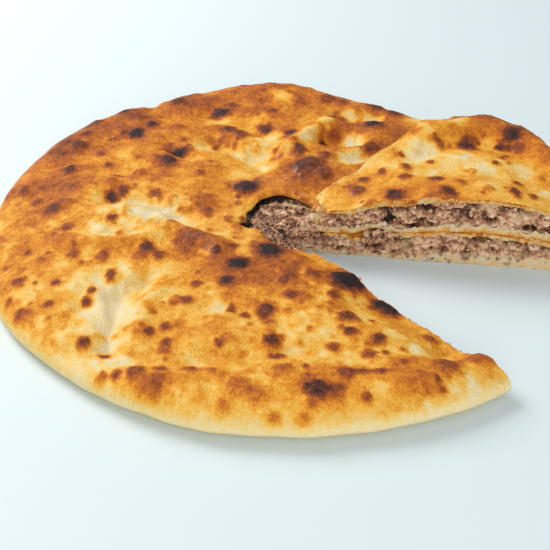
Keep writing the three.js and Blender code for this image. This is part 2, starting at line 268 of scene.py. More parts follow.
# %% [markdown]
# ## Height of the pie's top
# The plain dome, the pillows, the folds and the sag are added up into one function of place. The
# underside of the crust keeps only the valleys, so that the dough never gets too thin.

# %% Height of the pie's top
PIE_RISE, PIE_FALL = (0.06, 0.5), (0.64, 0.9)  # from and to, in shares of the radius


def pie_share(x, y):
    return np.hypot(x, y) / outline(np.arctan2(y, x))


def pie_dome(x, y):
    share = pie_share(x, y)
    dome = (SHOULDER_HEIGHT - CENTRE_HEIGHT) * smooth(share, *PIE_RISE)
    fall = (SHOULDER_HEIGHT - RIM_HEIGHT) * smooth(share, *PIE_FALL)
    return CENTRE_HEIGHT + dome - fall + pillow_relief(x, y) - sag_at(x, y)


def pie_top(x, y):
    return pie_dome(x, y) + fold_relief(x, y, PIE_FOLDS) + fold_relief(x, y, PLEATS)


def pie_roof(x, y):
    return np.maximum(LEAST_ROOF, pie_dome(x, y) + valley_relief(x, y, PIE_FOLDS) - TOP_CRUST)


print("Height at the left shoulder:", round(float(pie_top(np.array(-100.0), np.array(0.0))), 1))

# %% [markdown]
# ## The slice's shape
# The slice is measured from its own tip. Its foot follows the pie's top, as a soft slice does when it
# is laid down, but it bridges one dip in the pie's edge, and past the pie's shoulder it lies level.

# %% Shape of the slice
SLICE_TIP = (9, -11.8)
SLICE_RIGHT, SLICE_LEFT = -7.4, 45
SLICE_RIGHT_LENGTH, SLICE_LEFT_LENGTH = 157, 143
CORNER_FROM, CORNER_TO = 30, 46  # directions between which the slice gets shorter
SLICE_TIP_HEIGHT, SLICE_MIDDLE_HEIGHT, SLICE_RIM_HEIGHT = 15.5, 19, 16.5
SLICE_RISE, SLICE_FALL = (0.04, 0.45), (0.7, 0.88)  # from and to, in shares of its length
SLICE_GAP = 0.4
HELD_SHARE = 0.84  # past this share of the pie's radius the slice's foot lies level
TINY = 1e-6
LIFT_X, LIFT_Y, LIFT_RADIUS, LIFT_RISE = 46, -16, 8.5, 6.0
SLICE_FOLDS = [  # path from the slice's tip, width, rise
    ([(64, 40), (96, 56), (118, 52)], 8, -2.6),
    ([(72, 64), (106, 76), (132, 54), (147, 30)], 13, 6.4),
    ([(102, 80), (120, 68)], 12, 2.2),
    ([(34, -2), (60, 2), (92, 0)], 14, 1.4),
    ([(70, 22), (120, 16)], 10, -1.4),
    ([(28, 34), (36, 30)], 8, -3),
    ([(14, -3), (36, -5)], 9, -3.2),
]


def slice_length(angle):
    turn = smooth(angle, math.radians(CORNER_FROM), math.radians(CORNER_TO))
    return SLICE_RIGHT_LENGTH + (SLICE_LEFT_LENGTH - SLICE_RIGHT_LENGTH) * turn


def slice_foot(x, y):
    reach = np.maximum(np.hypot(x, y), TINY)
    held = np.minimum(1, HELD_SHARE * outline(np.arctan2(y, x)) / reach)
    lift = LIFT_RISE * bell(np.hypot(x - LIFT_X, y - LIFT_Y), LIFT_RADIUS)
    return pie_top(x * held, y * held) + SLICE_GAP + lift


def slice_dome(x, y):
    dx, dy = x - SLICE_TIP[0], y - SLICE_TIP[1]
    share = np.hypot(dx, dy) / slice_length(np.arctan2(dy, dx))
    dome = (SLICE_MIDDLE_HEIGHT - SLICE_TIP_HEIGHT) * smooth(share, *SLICE_RISE)
    fall = (SLICE_MIDDLE_HEIGHT - SLICE_RIM_HEIGHT) * smooth(share, *SLICE_FALL)
    return SLICE_TIP_HEIGHT + dome - fall


def slice_top(x, y):
    return slice_dome(x, y) + fold_relief(x - SLICE_TIP[0], y - SLICE_TIP[1], SLICE_FOLDS)


def slice_roof(x, y):
    valleys = valley_relief(x - SLICE_TIP[0], y - SLICE_TIP[1], SLICE_FOLDS)
    return np.maximum(LEAST_ROOF, slice_dome(x, y) + valleys - SLICE_TOP_CRUST)


print("The slice is", SLICE_LEFT - SLICE_RIGHT, "degrees wide")

# %% [markdown]
# ## The vent
# The vent's lip is given by a few directions and distances, blended smoothly in between. From it we can
# tell how far any place lies outside the opening, which the crust and the meat below it both need.

# %% The vent
def from_cuts(x, y):
    """Direction in degrees, counted up from the back cut, and distance from where the cuts start."""
    dx, dy = x - CUT_START[0], y - CUT_START[1]
    return (np.degrees(np.arctan2(dy, dx)) - BACK_CUT) % 360 + BACK_CUT, np.hypot(dx, dy)


def lip_at(degrees):
    toward, distance = np.array(VENT_LIP).T
    place = np.clip(np.searchsorted(toward, degrees), 1, len(toward) - 1)
    near, far = distance[place - 1], distance[place]
    return near + (far - near) * smooth(degrees, toward[place - 1], toward[place])


def past_lip(x, y):
    """How far outside the vent's lip a place is."""
    toward, distance = from_cuts(x, y)
    return distance - lip_at(np.minimum(toward, 360 + FRONT_CUT))


print("The lip is", round(float(lip_at(82.0))), "mm behind the place where the cuts start")

# %% [markdown]
# ## Scorch marks
# The oven browns the thin top of every bubble first, so the crust is speckled with brown and black
# marks. The main ones are listed: middle, half length, half width and how dark they are. They
# were read off a plan at one height, and the eye looks down at an angle, so a mark on a higher part of
# the crust lies a little nearer.

# %% Scorch marks of the pie
PLAN_HEIGHT = 15
NEARER_PER_HEIGHT = 1.4
PIE_MARKS = [  # x, y, half length, half width, dark
    # Round the vent and the bulge before it
    (-7, -33, 6.5, 6, 1.0), (-22, -45, 5.5, 4.5, 0.98), (-27, -60, 4, 3, 0.9), (-33, -32, 3, 3, 0.82),
    (-25, -30, 3, 3, 0.74), (-45, -21, 12, 7, 0.7), (-20, 31, 8, 5, 0.88), (14, 55, 10, 9, 0.8),
    (13, 54, 7, 6, 0.8), (11, 74, 5, 5, 0.8), (25, 66, 5, 4, 0.78), (23, 47, 6, 5, 0.74),
    (-40, 5, 4, 4, 0.76),
    # Along the front cut
    (31, -59, 9, 6, 0.97), (50, -80, 7, 6, 0.95), (14, -55, 5, 5, 0.74), (3, -55, 6, 5, 0.7),
    (4, -71, 5, 4, 0.78), (24, -71, 4, 4, 0.74), (30, -88, 6, 5, 0.78), (30, -98, 6, 3, 0.8),
    (43, -104, 4, 4, 0.8), (38, -116, 4, 4, 0.74), (68, -106, 5, 4, 0.7),
    # Front rim
    (15, -137, 9, 5, 0.86), (12, -144, 4, 4, 0.62), (72, -124, 8, 7, 0.7), (88, -118, 12, 6, 0.62),
    (56, -131, 13, 7, 0.54), (34, -126, 5, 2, 0.74), (42, -126, 4, 2, 0.72), (8, -154, 4, 4, 0.68),
    (-4, -154, 4, 4, 0.68), (35, -142, 3, 3, 0.7), (-20, -135, 6, 5, 0.56), (-12, -140, 5, 4, 0.56),
    (-59, -138, 7, 7, 0.66), (-64, -127, 5, 5, 0.7), (-54, -126, 4, 2.5, 0.72), (-73, -127, 3, 3, 0.72),
    (0, -125, 6, 4, 0.6),
    # Front and left
    (-5, -104, 6, 4, 0.84), (-8, -82, 6, 5, 0.8), (-25, -83, 3, 2.5, 0.74), (-18, -88, 3, 3, 0.72),
    (-42, -62, 4, 3, 0.72), (-46, -75, 4, 3, 0.76), (-54, -95, 4, 4, 0.74), (-61, -99, 4, 4, 0.74),
    (-53, -106, 3, 3, 0.74), (-3, -117, 5, 2.5, 0.74), (-90, -108, 4, 3, 0.78),
    (-80, -116, 4, 2.5, 0.78), (-68, -27, 5, 5, 0.82), (-62, -38, 4, 4, 0.74), (-84, -55, 3, 6, 0.78),
    (-92, -67, 3, 3, 0.74), (-93, -77, 3, 3, 0.8), (-111, -78, 3, 3, 0.76), (-110, -61, 3, 3, 0.76),
    (-128, -60, 4, 4, 0.78), (-131, -73, 2, 3, 0.68), (-123, -84, 4, 4, 0.74), (-105, -33, 4, 4, 0.7),
    (-90, -3, 4, 5, 0.78), (-123, 5, 6, 5, 0.8), (-133, 14, 4, 4, 0.74),
    # Left and back
    (-94, 17, 5, 5, 0.84), (-88, 28, 4, 5, 0.76), (-70, 24, 6, 3, 0.72), (-143, 25, 4, 5, 0.76),
    (-122, 48, 4, 5, 0.82), (-100, 55, 3, 3, 0.74), (-120, 78, 7, 5, 0.78), (-135, 72, 5, 4, 0.74),
    (-118, 93, 4, 4, 0.74), (-88, 94, 5, 5, 0.96), (-96, 93, 3, 4, 0.76), (-80, 105, 4, 4, 0.84),
    (-100, 122, 5, 4, 0.86), (-115, 108, 5, 4, 0.78), (-66, 137, 5, 5, 0.8), (-66, 60, 5, 6, 0.86),
    (-61, 71, 6, 3, 0.92), (-40, 76, 4, 5, 0.72), (-38, 123, 6, 4, 0.92), (-32, 134, 6, 3, 0.72),
    (-32, 99, 5, 4, 0.82), (-25, 92, 5, 6, 0.74), (-9, 101, 4, 5, 0.82), (6, 94, 4, 5, 0.88),
    (-25, 160, 4, 3, 0.78), (-5, 123, 4, 3, 0.76), (30, 143, 6, 5, 0.76), (60, 129, 9, 6, 0.8),
    (72, 122, 7, 6, 0.8), (57, 104, 6, 5, 0.97), (25, 82, 3, 7, 0.84), (34, 113, 2, 5, 0.86),
    (53, 77, 6, 5, 0.76),
]
print(len(PIE_MARKS), "main marks on the pie")

# %% Scorch marks of the slice
SLICE_PLAN_HEIGHT = 34
SLICE_MARKS = [  # x, y, half length, half width, dark
    (103, 41, 6, 6, 0.86), (130, 58, 6, 4, 0.9), (122, 41, 4, 3, 0.8), (132, 41, 3, 4, 0.72),
    (89, 51, 3, 3, 0.68), (105, 57, 5, 4, 0.7), (65, 33, 3, 3, 0.76), (115, 21, 3, 4, 0.74),
    (65, 8, 5, 3, 0.74), (81, 5, 6, 4, 0.78), (58, -10, 6, 5, 0.84), (84, -8, 5, 4, 0.8),
    (40, -6, 5, 4, 0.74), (124, 1, 4, 3, 0.78), (119, -10, 3, 6, 0.8), (53, 13, 3, 4, 0.7),
    (120, 28, 2.5, 2.5, 0.72), (128, 72, 12, 9, 0.7), (142, 58, 10, 10, 0.64),
]
print(len(SLICE_MARKS), "main marks on the slice")

# %% [markdown]
# ## Pale and toasted patches
# Valleys stay pale, because they are shaded from the oven's heat, and so do a few dusty patches.
# Toasted patches are the opposite: bulges that came close to the hot roof. Both are given as soft
# round areas.

# %% Patches of the pie
PIE_PALE = [  # x, y, radius, how pale
    (-76, 6, 21, 1.0), (-90, -5, 9, 0.7), (-61, 2, 12, 0.9), (-97, -15, 9, 1.0), (-45, 75, 8, 0.8),
    (-20, 66, 10, 0.9), (-9, 51, 7, 0.8), (1, 146, 7, 0.7), (-6, 87, 8, 0.8), (-84, -78, 20, 0.9),
    (-80, -96, 15, 0.9), (-76, -64, 11, 0.7), (-100, -60, 7, 0.6), (-30, -84, 6, 0.8),
    (11, -88, 6, 0.7), (22, -97, 7, 0.6), (4, -106, 8, 0.5), (-40, -88, 8, 0.4), (-55, -70, 6, 0.5),
    (41, 83, 6, 1.0), (47, 83, 5, 0.9), (44, 117, 6, 0.9), (57, 116, 7, 0.9), (86, 113, 8, 0.8),
    (4, 79, 6, 0.9), (12, 89, 6, 0.9), (19, 98, 6, 0.9), (27, 109, 6, 0.9), (22, 83, 5, 0.8),
    (44, 63, 8, 1.0), (38, 59, 6, 0.9), (-93, 68, 7, 0.5), (-85, 55, 8, 0.5), (-40, 112, 9, 0.6),
    (-110, -45, 8, 0.35), (-60, -50, 8, 0.5), (-64, -19, 9, 0.5), (-100, 25, 8, 0.5), (-23, 44, 7, 0.5),
    (-1, -97, 8, 0.5), (-42, -109, 9, 0.5), (-40, -139, 10, 0.5), (15, -79, 7, 0.5), (-11, -90, 6, 0.5),
    (88, -143, 6, 0.7), (102, -134, 6, 0.8), (112, -126, 6, 0.9),
]
PIE_TOASTED = [  # x, y, radius, how toasted
    (-16, -44, 30, 1.0), (-47, -27, 14, 0.5), (22, 50, 22, 0.8), (40, 62, 16, 0.5), (62, 88, 24, 0.9),
    (50, 104, 26, 0.9), (74, 122, 26, 0.9), (30, 146, 20, 0.5), (-128, 62, 34, 0.45),
    (-112, 104, 28, 0.5), (-64, 142, 26, 0.4), (-66, 60, 12, 0.5), (-28, 100, 16, 0.4),
    (-150, 10, 20, 0.4), (36, -60, 14, 0.5), (37, 97, 10, 0.9), (70, 90, 14, 0.8), (-43, 16, 13, 0.9),
    (-71, 41, 13, 0.7), (-109, 60, 11, 0.6), (-39, -42, 10, 0.5), (-24, -106, 13, 0.4),
    (92, -116, 12, 0.6), (8, -118, 8, 0.4),
]
print(len(PIE_PALE), "pale and", len(PIE_TOASTED), "toasted patches on the pie")

# %% Patches of the slice
SLICE_TOASTED = [  # x, y, radius, how toasted
    (40, 5, 14, 0.6), (54, 1, 12, 0.4), (58, -8, 12, 0.4), (84, -6, 12, 0.4), (36, -8, 12, 0.7),
    (132, 52, 18, 0.6), (118, 72, 16, 0.6),
]
SLICE_PALE = [  # x, y, radius, how pale
    (80, 45, 8, 0.8), (74, 32, 7, 0.7), (105, 18, 7, 0.9), (105, -2, 7, 0.7), (130, 16, 8, 0.9),
    (97, 68, 9, 0.8), (137, -8, 6, 0.9), (117, 50, 6, 0.5), (60, 22, 6, 0.5), (92, 25, 8, 0.4),
    (70, 48, 8, 0.5), (20, -12, 4, 0.6),
]
print(len(SLICE_PALE), "pale and", len(SLICE_TOASTED), "toasted patches on the slice")

# %% [markdown]
# ## Small specks
# Between the main marks lie hundreds of small specks. They are drawn at random, with a seed, so that
# each run gives the same ones. The square root spreads them evenly over the round pie.

# %% Small specks
SPECK_SIZE, SPECK_LARGER = 1.4, 3.2
SPECK_DARK, SPECK_DARKER = 0.5, 0.24


def small_specks(count, seed):
    """Rows of x, y, half length, half width, dark, all over the pie."""
    draw = np.random.default_rng(seed)
    radius = PIE_RADIUS * np.sqrt(draw.random(count))
    angle = 2 * math.pi * draw.random(count)
    size = SPECK_SIZE + SPECK_LARGER * draw.random(count) ** 2
    dark = SPECK_DARK + SPECK_DARKER * draw.random(count)
    return np.stack([radius * np.cos(angle), radius * np.sin(angle), size, size, dark], -1)


pie_specks = small_specks(count=420, seed=21)
slice_specks = small_specks(count=360, seed=33)
print(len(pie_specks), "specks for the pie and", len(slice_specks), "for the slice")

# %% [markdown]
# ## How the oven browned the crust
# One number per point says how brown it is: 0 for pale dough, 0.5 for golden, 1 for charred. A mark has
# a dark core and, if it is nearly black, a brown ring round it; its edge is broken up with noise. The
# same falloff also lifts the crust a little, because a mark is the top of a small bubble. An image
# could be painted instead, but numbers on the mesh's points need no unwrapping.

# %% Marks
CORE_FADE, RING_FADE = (0.32, 1.25), (0.8, 2.0)  # from and to, in shares of the mark's size
RINGED, RING = (0.8, 0.96), 0.68  # how dark a mark has to be for a ring, and how brown the ring is
MILD, MILDER_BY = (0.78, 0.98), 0.04  # marks milder than black are lightened a little
HALO, HALO_REACH = 0.06, 2.2
MARK_REACH, MARK_WIDEN = 2.6, 1.2
BUBBLE_RISE, WIDEST_BUBBLE = 0.25, 7
MARK_RAGGED = [(0.22, 3.0, 5), (0.22, 9.0, 2.2)]  # strength, layer, size


def mark_away(x, y, mx, my, long, wide):
    """Distance from the middle of a mark in shares of its size, made ragged."""
    return np.hypot((x - mx) / long, (y - my) / wide) + layered_noise(x, y, MARK_RAGGED)


def nearer(x, y, top, plan_height):
    """Moves a place that was read off the plan toward the eye, by how far the crust is above the plan."""
    return y - NEARER_PER_HEIGHT * (float(top(np.array(x), np.array(y))) - plan_height)


def lay_marks(x, y, brown, marks, top, plan_height):
    """Browns the crust at each mark, and returns the new browning and how far each point is lifted."""
    lift, halo = np.zeros(x.shape), np.zeros(x.shape)
    for mx, my, long, wide, dark in marks:
        my = nearer(mx, my, top, plan_height)
        distance = np.hypot(x - mx, y - my)
        near = np.nonzero(distance < MARK_REACH * max(long, wide))
        away = mark_away(x[near], y[near], mx, my, long, MARK_WIDEN * wide)
        core = 1 - smooth(away, *CORE_FADE)
        ring = smooth(dark, *RINGED) * (1 - smooth(away, *RING_FADE))
        ringed = brown[near] + (np.maximum(RING, brown[near]) - brown[near]) * ring
        dark = dark - MILDER_BY * (1 - smooth(dark, *MILD))
        brown[near] = ringed + (np.maximum(dark, ringed) - ringed) * core
        fade = 1 - smooth(distance[near], 0, HALO_REACH * max(long, wide))
        halo[near] = np.maximum(halo[near], fade)
        lift[near] = np.maximum(lift[near], BUBBLE_RISE * min(wide, WIDEST_BUBBLE) * core)
    return brown + HALO * halo, lift


print("The tallest bubble is", BUBBLE_RISE * WIDEST_BUBBLE, "mm high")

# %% Patches and mottle
PALE, TOASTED = 0.07, 0.6
PALE_RAGGED, TOASTED_RAGGED = 1.0, 0.4
PATCH_FADE = 1.6
PATCH_RAGGED = [(0.42, 5.0, 7), (0.34, 6.0, 2.8)]
SMALL_RELIEF = [(0.8, 7.0, 16), (0.55, 8.0, 8), (0.25, 9.0, 4)]
MOTTLE = [(0.05, 1.0, 26), (0.07, 2.0, 12), (0.08, 3.0, 6)]
FLOUR, FLOUR_SHOWS = [(1.0, 13.0, 10), (0.5, 14.0, 3.5)], (0.1, 0.8)


def lay_patches(x, y, brown, patches, tone, edge, top, plan_height):
    """Draws the browning toward one tone, by each patch's share, within its ragged edge."""
    ragged = edge * layered_noise(x, y, PATCH_RAGGED)
    for px, py, radius, share in patches:
        py = nearer(px, py, top, plan_height)
        fall = 1 - smooth(np.hypot(x - px, y - py) / radius + ragged, 0, PATCH_FADE)
        brown = brown + (tone - brown) * share * fall
    return brown


def small_relief(x, y):
    """Low bumps all over the crust, in mm."""
    return layered_noise(x, y, SMALL_RELIEF)


def mottle(x, y, dust):
    """Uneven browning at several sizes, made paler where flour was left."""
    dusty = smooth(layered_noise(x, y, FLOUR), *FLOUR_SHOWS)
    broad = layered_noise(x, y, MOTTLE) + 0.08 * small_relief(x, y)
    return broad + 0.05 * soft_noise(x, y, 4.0, 2.6) - dust * dusty


sample_x, sample_y = np.meshgrid(np.arange(50.0), np.arange(50.0))
print("Mottle is within", round(float(np.abs(mottle(sample_x, sample_y, 0.2)).max()), 2))

# %% [markdown]
# ## One order for all layers
# The order of the layers counts. Specks come before the pale patches, which hide those that fall into a
# valley, and the main marks come last, so that none of them is lost.

# %% All layers
def browned(x, y, first, mottling, toasted, specks, pale, marks, top, plan_height):
    """Lays all layers over a first browning, and returns it and how far each point is lifted."""
    brown = lay_patches(x, y, first, toasted, TOASTED, TOASTED_RAGGED, top, plan_height)
    brown = brown + mottling
    brown, speck_lift = lay_marks(x, y, brown, specks, top, plan_height)
    brown = lay_patches(x, y, brown, pale, PALE, PALE_RAGGED, top, plan_height)
    brown, lift = lay_marks(x, y, brown, marks, top, plan_height)
    return brown, np.maximum(lift, speck_lift)


print("Layers: toasted patches, mottle, specks, pale patches, marks")

# %% [markdown]
# ## A crust swept round a section
# The crust is a shell: at each angle its section runs from the lip over the top, round the rim and back
# along the foot, then returns inside along the floor and the roof. Sweeping that loop round the pie and
# closing both ends at the cuts makes one closed body. A lathe would make it too, but not with a
# different height everywhere.

# %% Points of a section
TOP_POINTS, RIM_POINTS = 108, 24
HOLLOW_POINTS, ROOF_POINTS = 7, 18
RIM_TOP, RIM_FOOT, RIM_EQUATOR = 0.1, 0.06, 0.36
HOLLOW_FLAT, HOLLOW_ROUND = 0.9, 0.1
NEAR_START = 0.002  # the rays' points keep this share of their length off the start


def rim_curve(turn):
    """Shares of the reach and of the height round the rim, for angles from straight up to down."""
    roundness = np.where(turn > 0, RIM_TOP, RIM_FOOT)
    share = 1 - roundness * (1 - np.cos(turn))
    level = RIM_EQUATOR + np.where(turn > 0, 1 - RIM_EQUATOR, RIM_EQUATOR) * np.sin(turn)
    return share, level


def section_shares(lip, reach, foot_points):
    """For each angle, the distances along its ray of the outer points, and their levels."""
    along = np.linspace(0, 1, TOP_POINTS)[None, :]
    top = lip[:, None] + (reach[:, None] * (1 - RIM_TOP) - lip[:, None]) * along
    rim_share, rim_level = rim_curve(np.linspace(math.pi / 2, -math.pi / 2, RIM_POINTS + 2)[1:-1])
    rim = reach[:, None] * rim_share[None, :]
    foot = reach[:, None] * (1 - RIM_FOOT) * np.linspace(1, NEAR_START, foot_points)[None, :]
    level = np.concatenate([np.ones(TOP_POINTS), rim_level, np.zeros(foot_points)])
    return np.concatenate([top, rim, foot], 1), level


def hollow_shares(lip, reach, floor_points):
    """The same for the points of the hollow, back along its floor, round its bend and along its roof."""
    inside = reach - RIM_WALL
    floor = inside[:, None] * HOLLOW_FLAT * np.linspace(NEAR_START, 1, floor_points)[None, :]
    turn = np.linspace(-math.pi / 2, math.pi / 2, HOLLOW_POINTS + 2)[1:-1]
    bend = inside[:, None] * (HOLLOW_FLAT + HOLLOW_ROUND * np.cos(turn))[None, :]
    back = np.linspace(1, 0, ROOF_POINTS)[None, :]
    roof = lip[:, None] + (inside[:, None] * HOLLOW_FLAT - lip[:, None]) * back
    level = np.concatenate([np.zeros(floor_points), 0.5 + 0.5 * np.sin(turn), np.ones(ROOF_POINTS)])
    return np.concatenate([floor, bend, roof], 1), level


print("A section has", TOP_POINTS + RIM_POINTS, "points over its top and rim")

# %% [markdown]
# ## From points to a mesh
# Grids of points become quads. Numbers that belong to a point, such as its browning, are stored as
# attributes, which the materials read. Edges sharper than 50 degrees stay sharp, so that the cut edges
# look cut.

# %% From points to a mesh
SHARP_EDGE = 50


def grid_quads(rows, columns, closed, first=0):
    """Quads of a grid of points, rows by columns. A closed grid joins its last column to its first."""
    index = first + np.arange(rows * columns).reshape(rows, columns)
    if closed:
        index = np.concatenate([index, index[:, :1]], 1)
    corners = [index[:-1, :-1], index[:-1, 1:], index[1:, 1:], index[1:, :-1]]
    return np.stack(corners, -1).reshape(-1, 4)


def make_piece(name, points, faces, node):
    """A smooth shaded piece from points in mm. It takes the place of a CAD node where one is given."""
    mesh = bpy.data.meshes.new(name)
    placed = (np.asarray(points) + [shift_x, shift_y, 0]) * MM
    mesh.from_pydata(placed.tolist(), [], [list(map(int, face)) for face in faces])
    mesh.validate()
    mesh.polygons.foreach_set("use_smooth", np.ones(len(mesh.polygons), bool))
    mesh.set_sharp_from_angle(angle=math.radians(SHARP_EDGE))
    piece = bpy.data.objects.new(name, mesh)
    bpy.context.scene.collection.objects.link(piece)
    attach(piece, "root")
    if node:
        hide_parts(node)
    triangles = sum(len(p.vertices) - 2 for p in mesh.polygons)
    print(name, len(mesh.vertices), "points,", triangles, "triangles")
    return piece


def store(piece, **attributes):
    """Keeps a number for each point of a piece, under a name that materials can read."""
    for name, values in attributes.items():
        layer = piece.data.attributes.new(name, "FLOAT", "POINT")
        layer.data.foreach_set("value", np.asarray(values, np.float32).ravel())


print("A closed grid of 3 by 4 points has", len(grid_quads(3, 4, True)), "quads")

# %% [markdown]
# ## Rays and the hollow's floor
# A knife leaves no perfect plane in bread, so the rays next to a cut wander sideways a little. The
# bottom crust is thicker toward the rim, in waves. Fat from the meat shines round the vent.

# %% Rays, floor and oil
WANDER, WANDER_ROWS, WANDER_SIZE = 1.1, 4, 9
BAND_WAVES, BAND_RISE = 0.9, (55, 100)
# Thickness of the bottom crust near the middle, and how much it gains toward the rim
PIE_BAND, SLICE_BAND = (1.9, 4.2), (3.2, 1.2)
OIL_SHARE, OIL_REACH = 0.5, 46


def ray_places(start, angles, distances):
    """Places along the rays. The first and the last few rays wander sideways, as a cut in bread does."""
    rows = np.arange(len(angles))
    near_cut = np.maximum(1 - rows / WANDER_ROWS, 1 - rows[::-1] / WANDER_ROWS).clip(0)[:, None]
    sideways = WANDER * near_cut * soft_noise(distances, 3.0, 5.0, WANDER_SIZE) * smooth(distances, 4, 20)
    x = start[0] + distances * np.cos(angles)[:, None] - sideways * np.sin(angles)[:, None]
    y = start[1] + distances * np.sin(angles)[:, None] + sideways * np.cos(angles)[:, None]
    return x, y


def floor_at(x, y, distance, band):
    """Height of the bottom crust's upper side, which rises in waves toward the rim."""
    return band[0] + band[1] * smooth(distance, *BAND_RISE) + BAND_WAVES * soft_noise(x, y, 2.0, 7)


def oil_at(x, y):
    near_vent = bell(np.hypot(x - VENT_X, y - VENT_Y), OIL_REACH)
    patchy = smooth(soft_noise(x, y, 6.0, 9), -0.5, 0.6)
    return OIL_SHARE * near_vent * patchy


print("The bottom crust is", sum(PIE_BAND), "mm thick near the pie's rim")

# %% [markdown]
# ## Building a crust
# The pie and the slice are built by the same function: it gets the point that the rays start from, the
# angles, how far each ray reaches, where the lip is and what the heights are. The browning and the
# small relief are worked out on the way, so that each bubble and its mark fall in the same place. The
# stored skin tone is for the caps at the cuts: pale dough inside, browner toward the top.

# %% Building a crust
LIP_ROLL, LIP_ROLL_WIDTH, LIP_SMOOTH_WIDTH = 1.0, 4, 8
INSIDE_BAKE = 0.34
INSIDE_SKIN, OUTSIDE_SKIN = 0.3, 0.5


def crust_points(start, angles, reach, lip, foot, top, roof, brown_at, band, low_points):
    """Points of a crust, one row for each ray, and what is stored for each of them."""
    outer, outer_level = section_shares(lip, reach, low_points[0])
    x, y = ray_places(start, angles, outer)
    past = outer - lip[:, None]
    brown, lift = brown_at(x, y, outer_level)
    rolled = LIP_ROLL * (1 - smooth(past, 0, LIP_ROLL_WIDTH)) ** 2
    height = top(x, y) + lift - rolled + small_relief(x, y) * smooth(past, 0, LIP_SMOOTH_WIDTH)
    z = foot(x, y) + outer_level * height
    inner, inner_level = hollow_shares(lip, reach, low_points[1])
    hx, hy = ray_places(start, angles, inner)
    floor = floor_at(hx, hy, inner, band)
    hz = foot(hx, hy) + floor + inner_level * (roof(hx, hy) - floor)
    points = np.stack([np.concatenate(pair, 1) for pair in ((x, hx), (y, hy), (z, hz))], -1)
    browning = np.concatenate([brown, np.full(hx.shape, INSIDE_BAKE)], 1)
    outer_skin = np.broadcast_to(INSIDE_SKIN + OUTSIDE_SKIN * outer_level**4, x.shape)
    skin = np.concatenate([outer_skin, np.full(hx.shape, INSIDE_SKIN)], 1)
    oil = np.concatenate([oil_at(x, y), np.zeros(hx.shape)], 1)
    return points, {"bake": browning, "skin": skin, "oil": oil}


def crust_piece(name, points, finish, node):
    """The swept loop as one closed piece, and the number of its first cap face."""
    rows, columns = points.shape[:2]
    faces = grid_quads(rows, columns, True).tolist()
    cap_start = len(faces)
    for row, turned in ((0, True), (rows - 1, False)):
        loop = [Vector((math.hypot(*(p[:2] - points[row, -1, :2])), p[2], 0)) for p in points[row]]
        for face in tessellate_polygon([loop]):
            corners = [row * columns + corner for corner in face]
            faces.append(corners[::-1] if turned else corners)
    piece = make_piece(name, points.reshape(-1, 3), faces, node)
    store(piece, **finish)
    return piece, cap_start


print("The lip rolls down by", LIP_ROLL, "mm")

# %% [markdown]
# ## How far the pie's rays reach
# The rays start where both cuts start, which isn't the middle of the outline, so each ray's reach is
# found by halving. The vent is an opening in the top crust that has torn as far as the cuts, so each
# ray also has its own distance to the lip. Noise makes both lines uneven.

# %% The pie's reach and lip
PIE_ROWS = 500
FARTHEST, HALVINGS = 260.0, 40
RIM_UNEVEN, PIE_LIP_UNEVEN = 0.8, 0.7


def round_noise(angles, radius, layer, size):
    """Noise along a circle, so that it has no seam."""
    return soft_noise(radius * np.cos(angles), radius * np.sin(angles), layer, size)


def reach_to_outline(start, angles):
    """Distance from the start to the outline along each ray."""
    near, far = np.zeros(angles.shape), np.full(angles.shape, FARTHEST)
    for _ in range(HALVINGS):
        middle = (near + far) / 2
        x, y = start[0] + middle * np.cos(angles), start[1] + middle * np.sin(angles)
        inside = np.hypot(x, y) < outline(np.arctan2(y, x))
        near, far = np.where(inside, middle, near), np.where(inside, far, middle)
    return near


pie_angles = np.radians(np.linspace(BACK_CUT, FRONT_CUT + 360, PIE_ROWS))
pie_reach = reach_to_outline(CUT_START, pie_angles)
pie_reach = pie_reach + RIM_UNEVEN * round_noise(pie_angles, 60, 4.0, 6)
pie_lip = lip_at(np.degrees(pie_angles))
pie_lip = pie_lip + PIE_LIP_UNEVEN * round_noise(pie_angles, 20, 1.0, 5)
print("The lip is", round(float(pie_lip.min())), "to", round(float(pie_lip.max())), "mm out")

# %% [markdown]
# ## The pie's crust
# Bulges are browner than valleys. Toward the back and the left the oven was hotter, and the crust is
# darker. Low on the rim it turns cream: the dough is paler there, with painted light from below added.

# %% The pie's browning
HOT_SIDE, FRONT_SIDE = (130, 75), (-80, 60)  # direction and width, in degrees
PIE_GOLD, PIE_PER_MM, PIE_RELIEF = 0.38, 0.035, (-5, 3)
BEHIND_MORE, HOT_MORE, FRONT_LESS = 0.06, 0.1, 0.06
RIM_CREAM, PIE_PALE_AND_LIT, HOT_CREAM_LESS = 0.09, (0.35, 0.95), 0.7


def no_foot(x, y):
    return 0 * x


def toward_side(x, y, side):
    turn = np.degrees(np.arctan2(y, x)) - side[0]
    return bell((turn + 180) % 360 - 180, side[1])


def pie_brown(x, y, level):
    share = pie_share(x, y)
    relief = pie_top(x, y) - pie_dome(x, y) + 0.5 * pillow_relief(x, y)
    hotter = toward_side(x, y, HOT_SIDE) * smooth(share, 0.35, 1.0)
    front_rim = toward_side(x, y, FRONT_SIDE) * smooth(share, 0.72, 0.92)
    behind = smooth(y, -30, 50)
    brown = PIE_GOLD + BEHIND_MORE * behind + PIE_PER_MM * np.clip(relief, *PIE_RELIEF)
    brown = brown + HOT_MORE * hotter - FRONT_LESS * front_rim
    mottling = mottle(x, y, 0.18 - 0.14 * behind)
    layers = (PIE_TOASTED, pie_specks, PIE_PALE, PIE_MARKS)
    brown, lift = browned(x, y, brown, mottling, *layers, pie_top, PLAN_HEIGHT)
    # low on the rim the browning turns toward cream: paler dough, with painted light from below
    shaded = 1 - smooth(level, *PIE_PALE_AND_LIT)
    return brown + (RIM_CREAM - brown) * shaded[None, :] * (1 - HOT_CREAM_LESS * hotter), lift


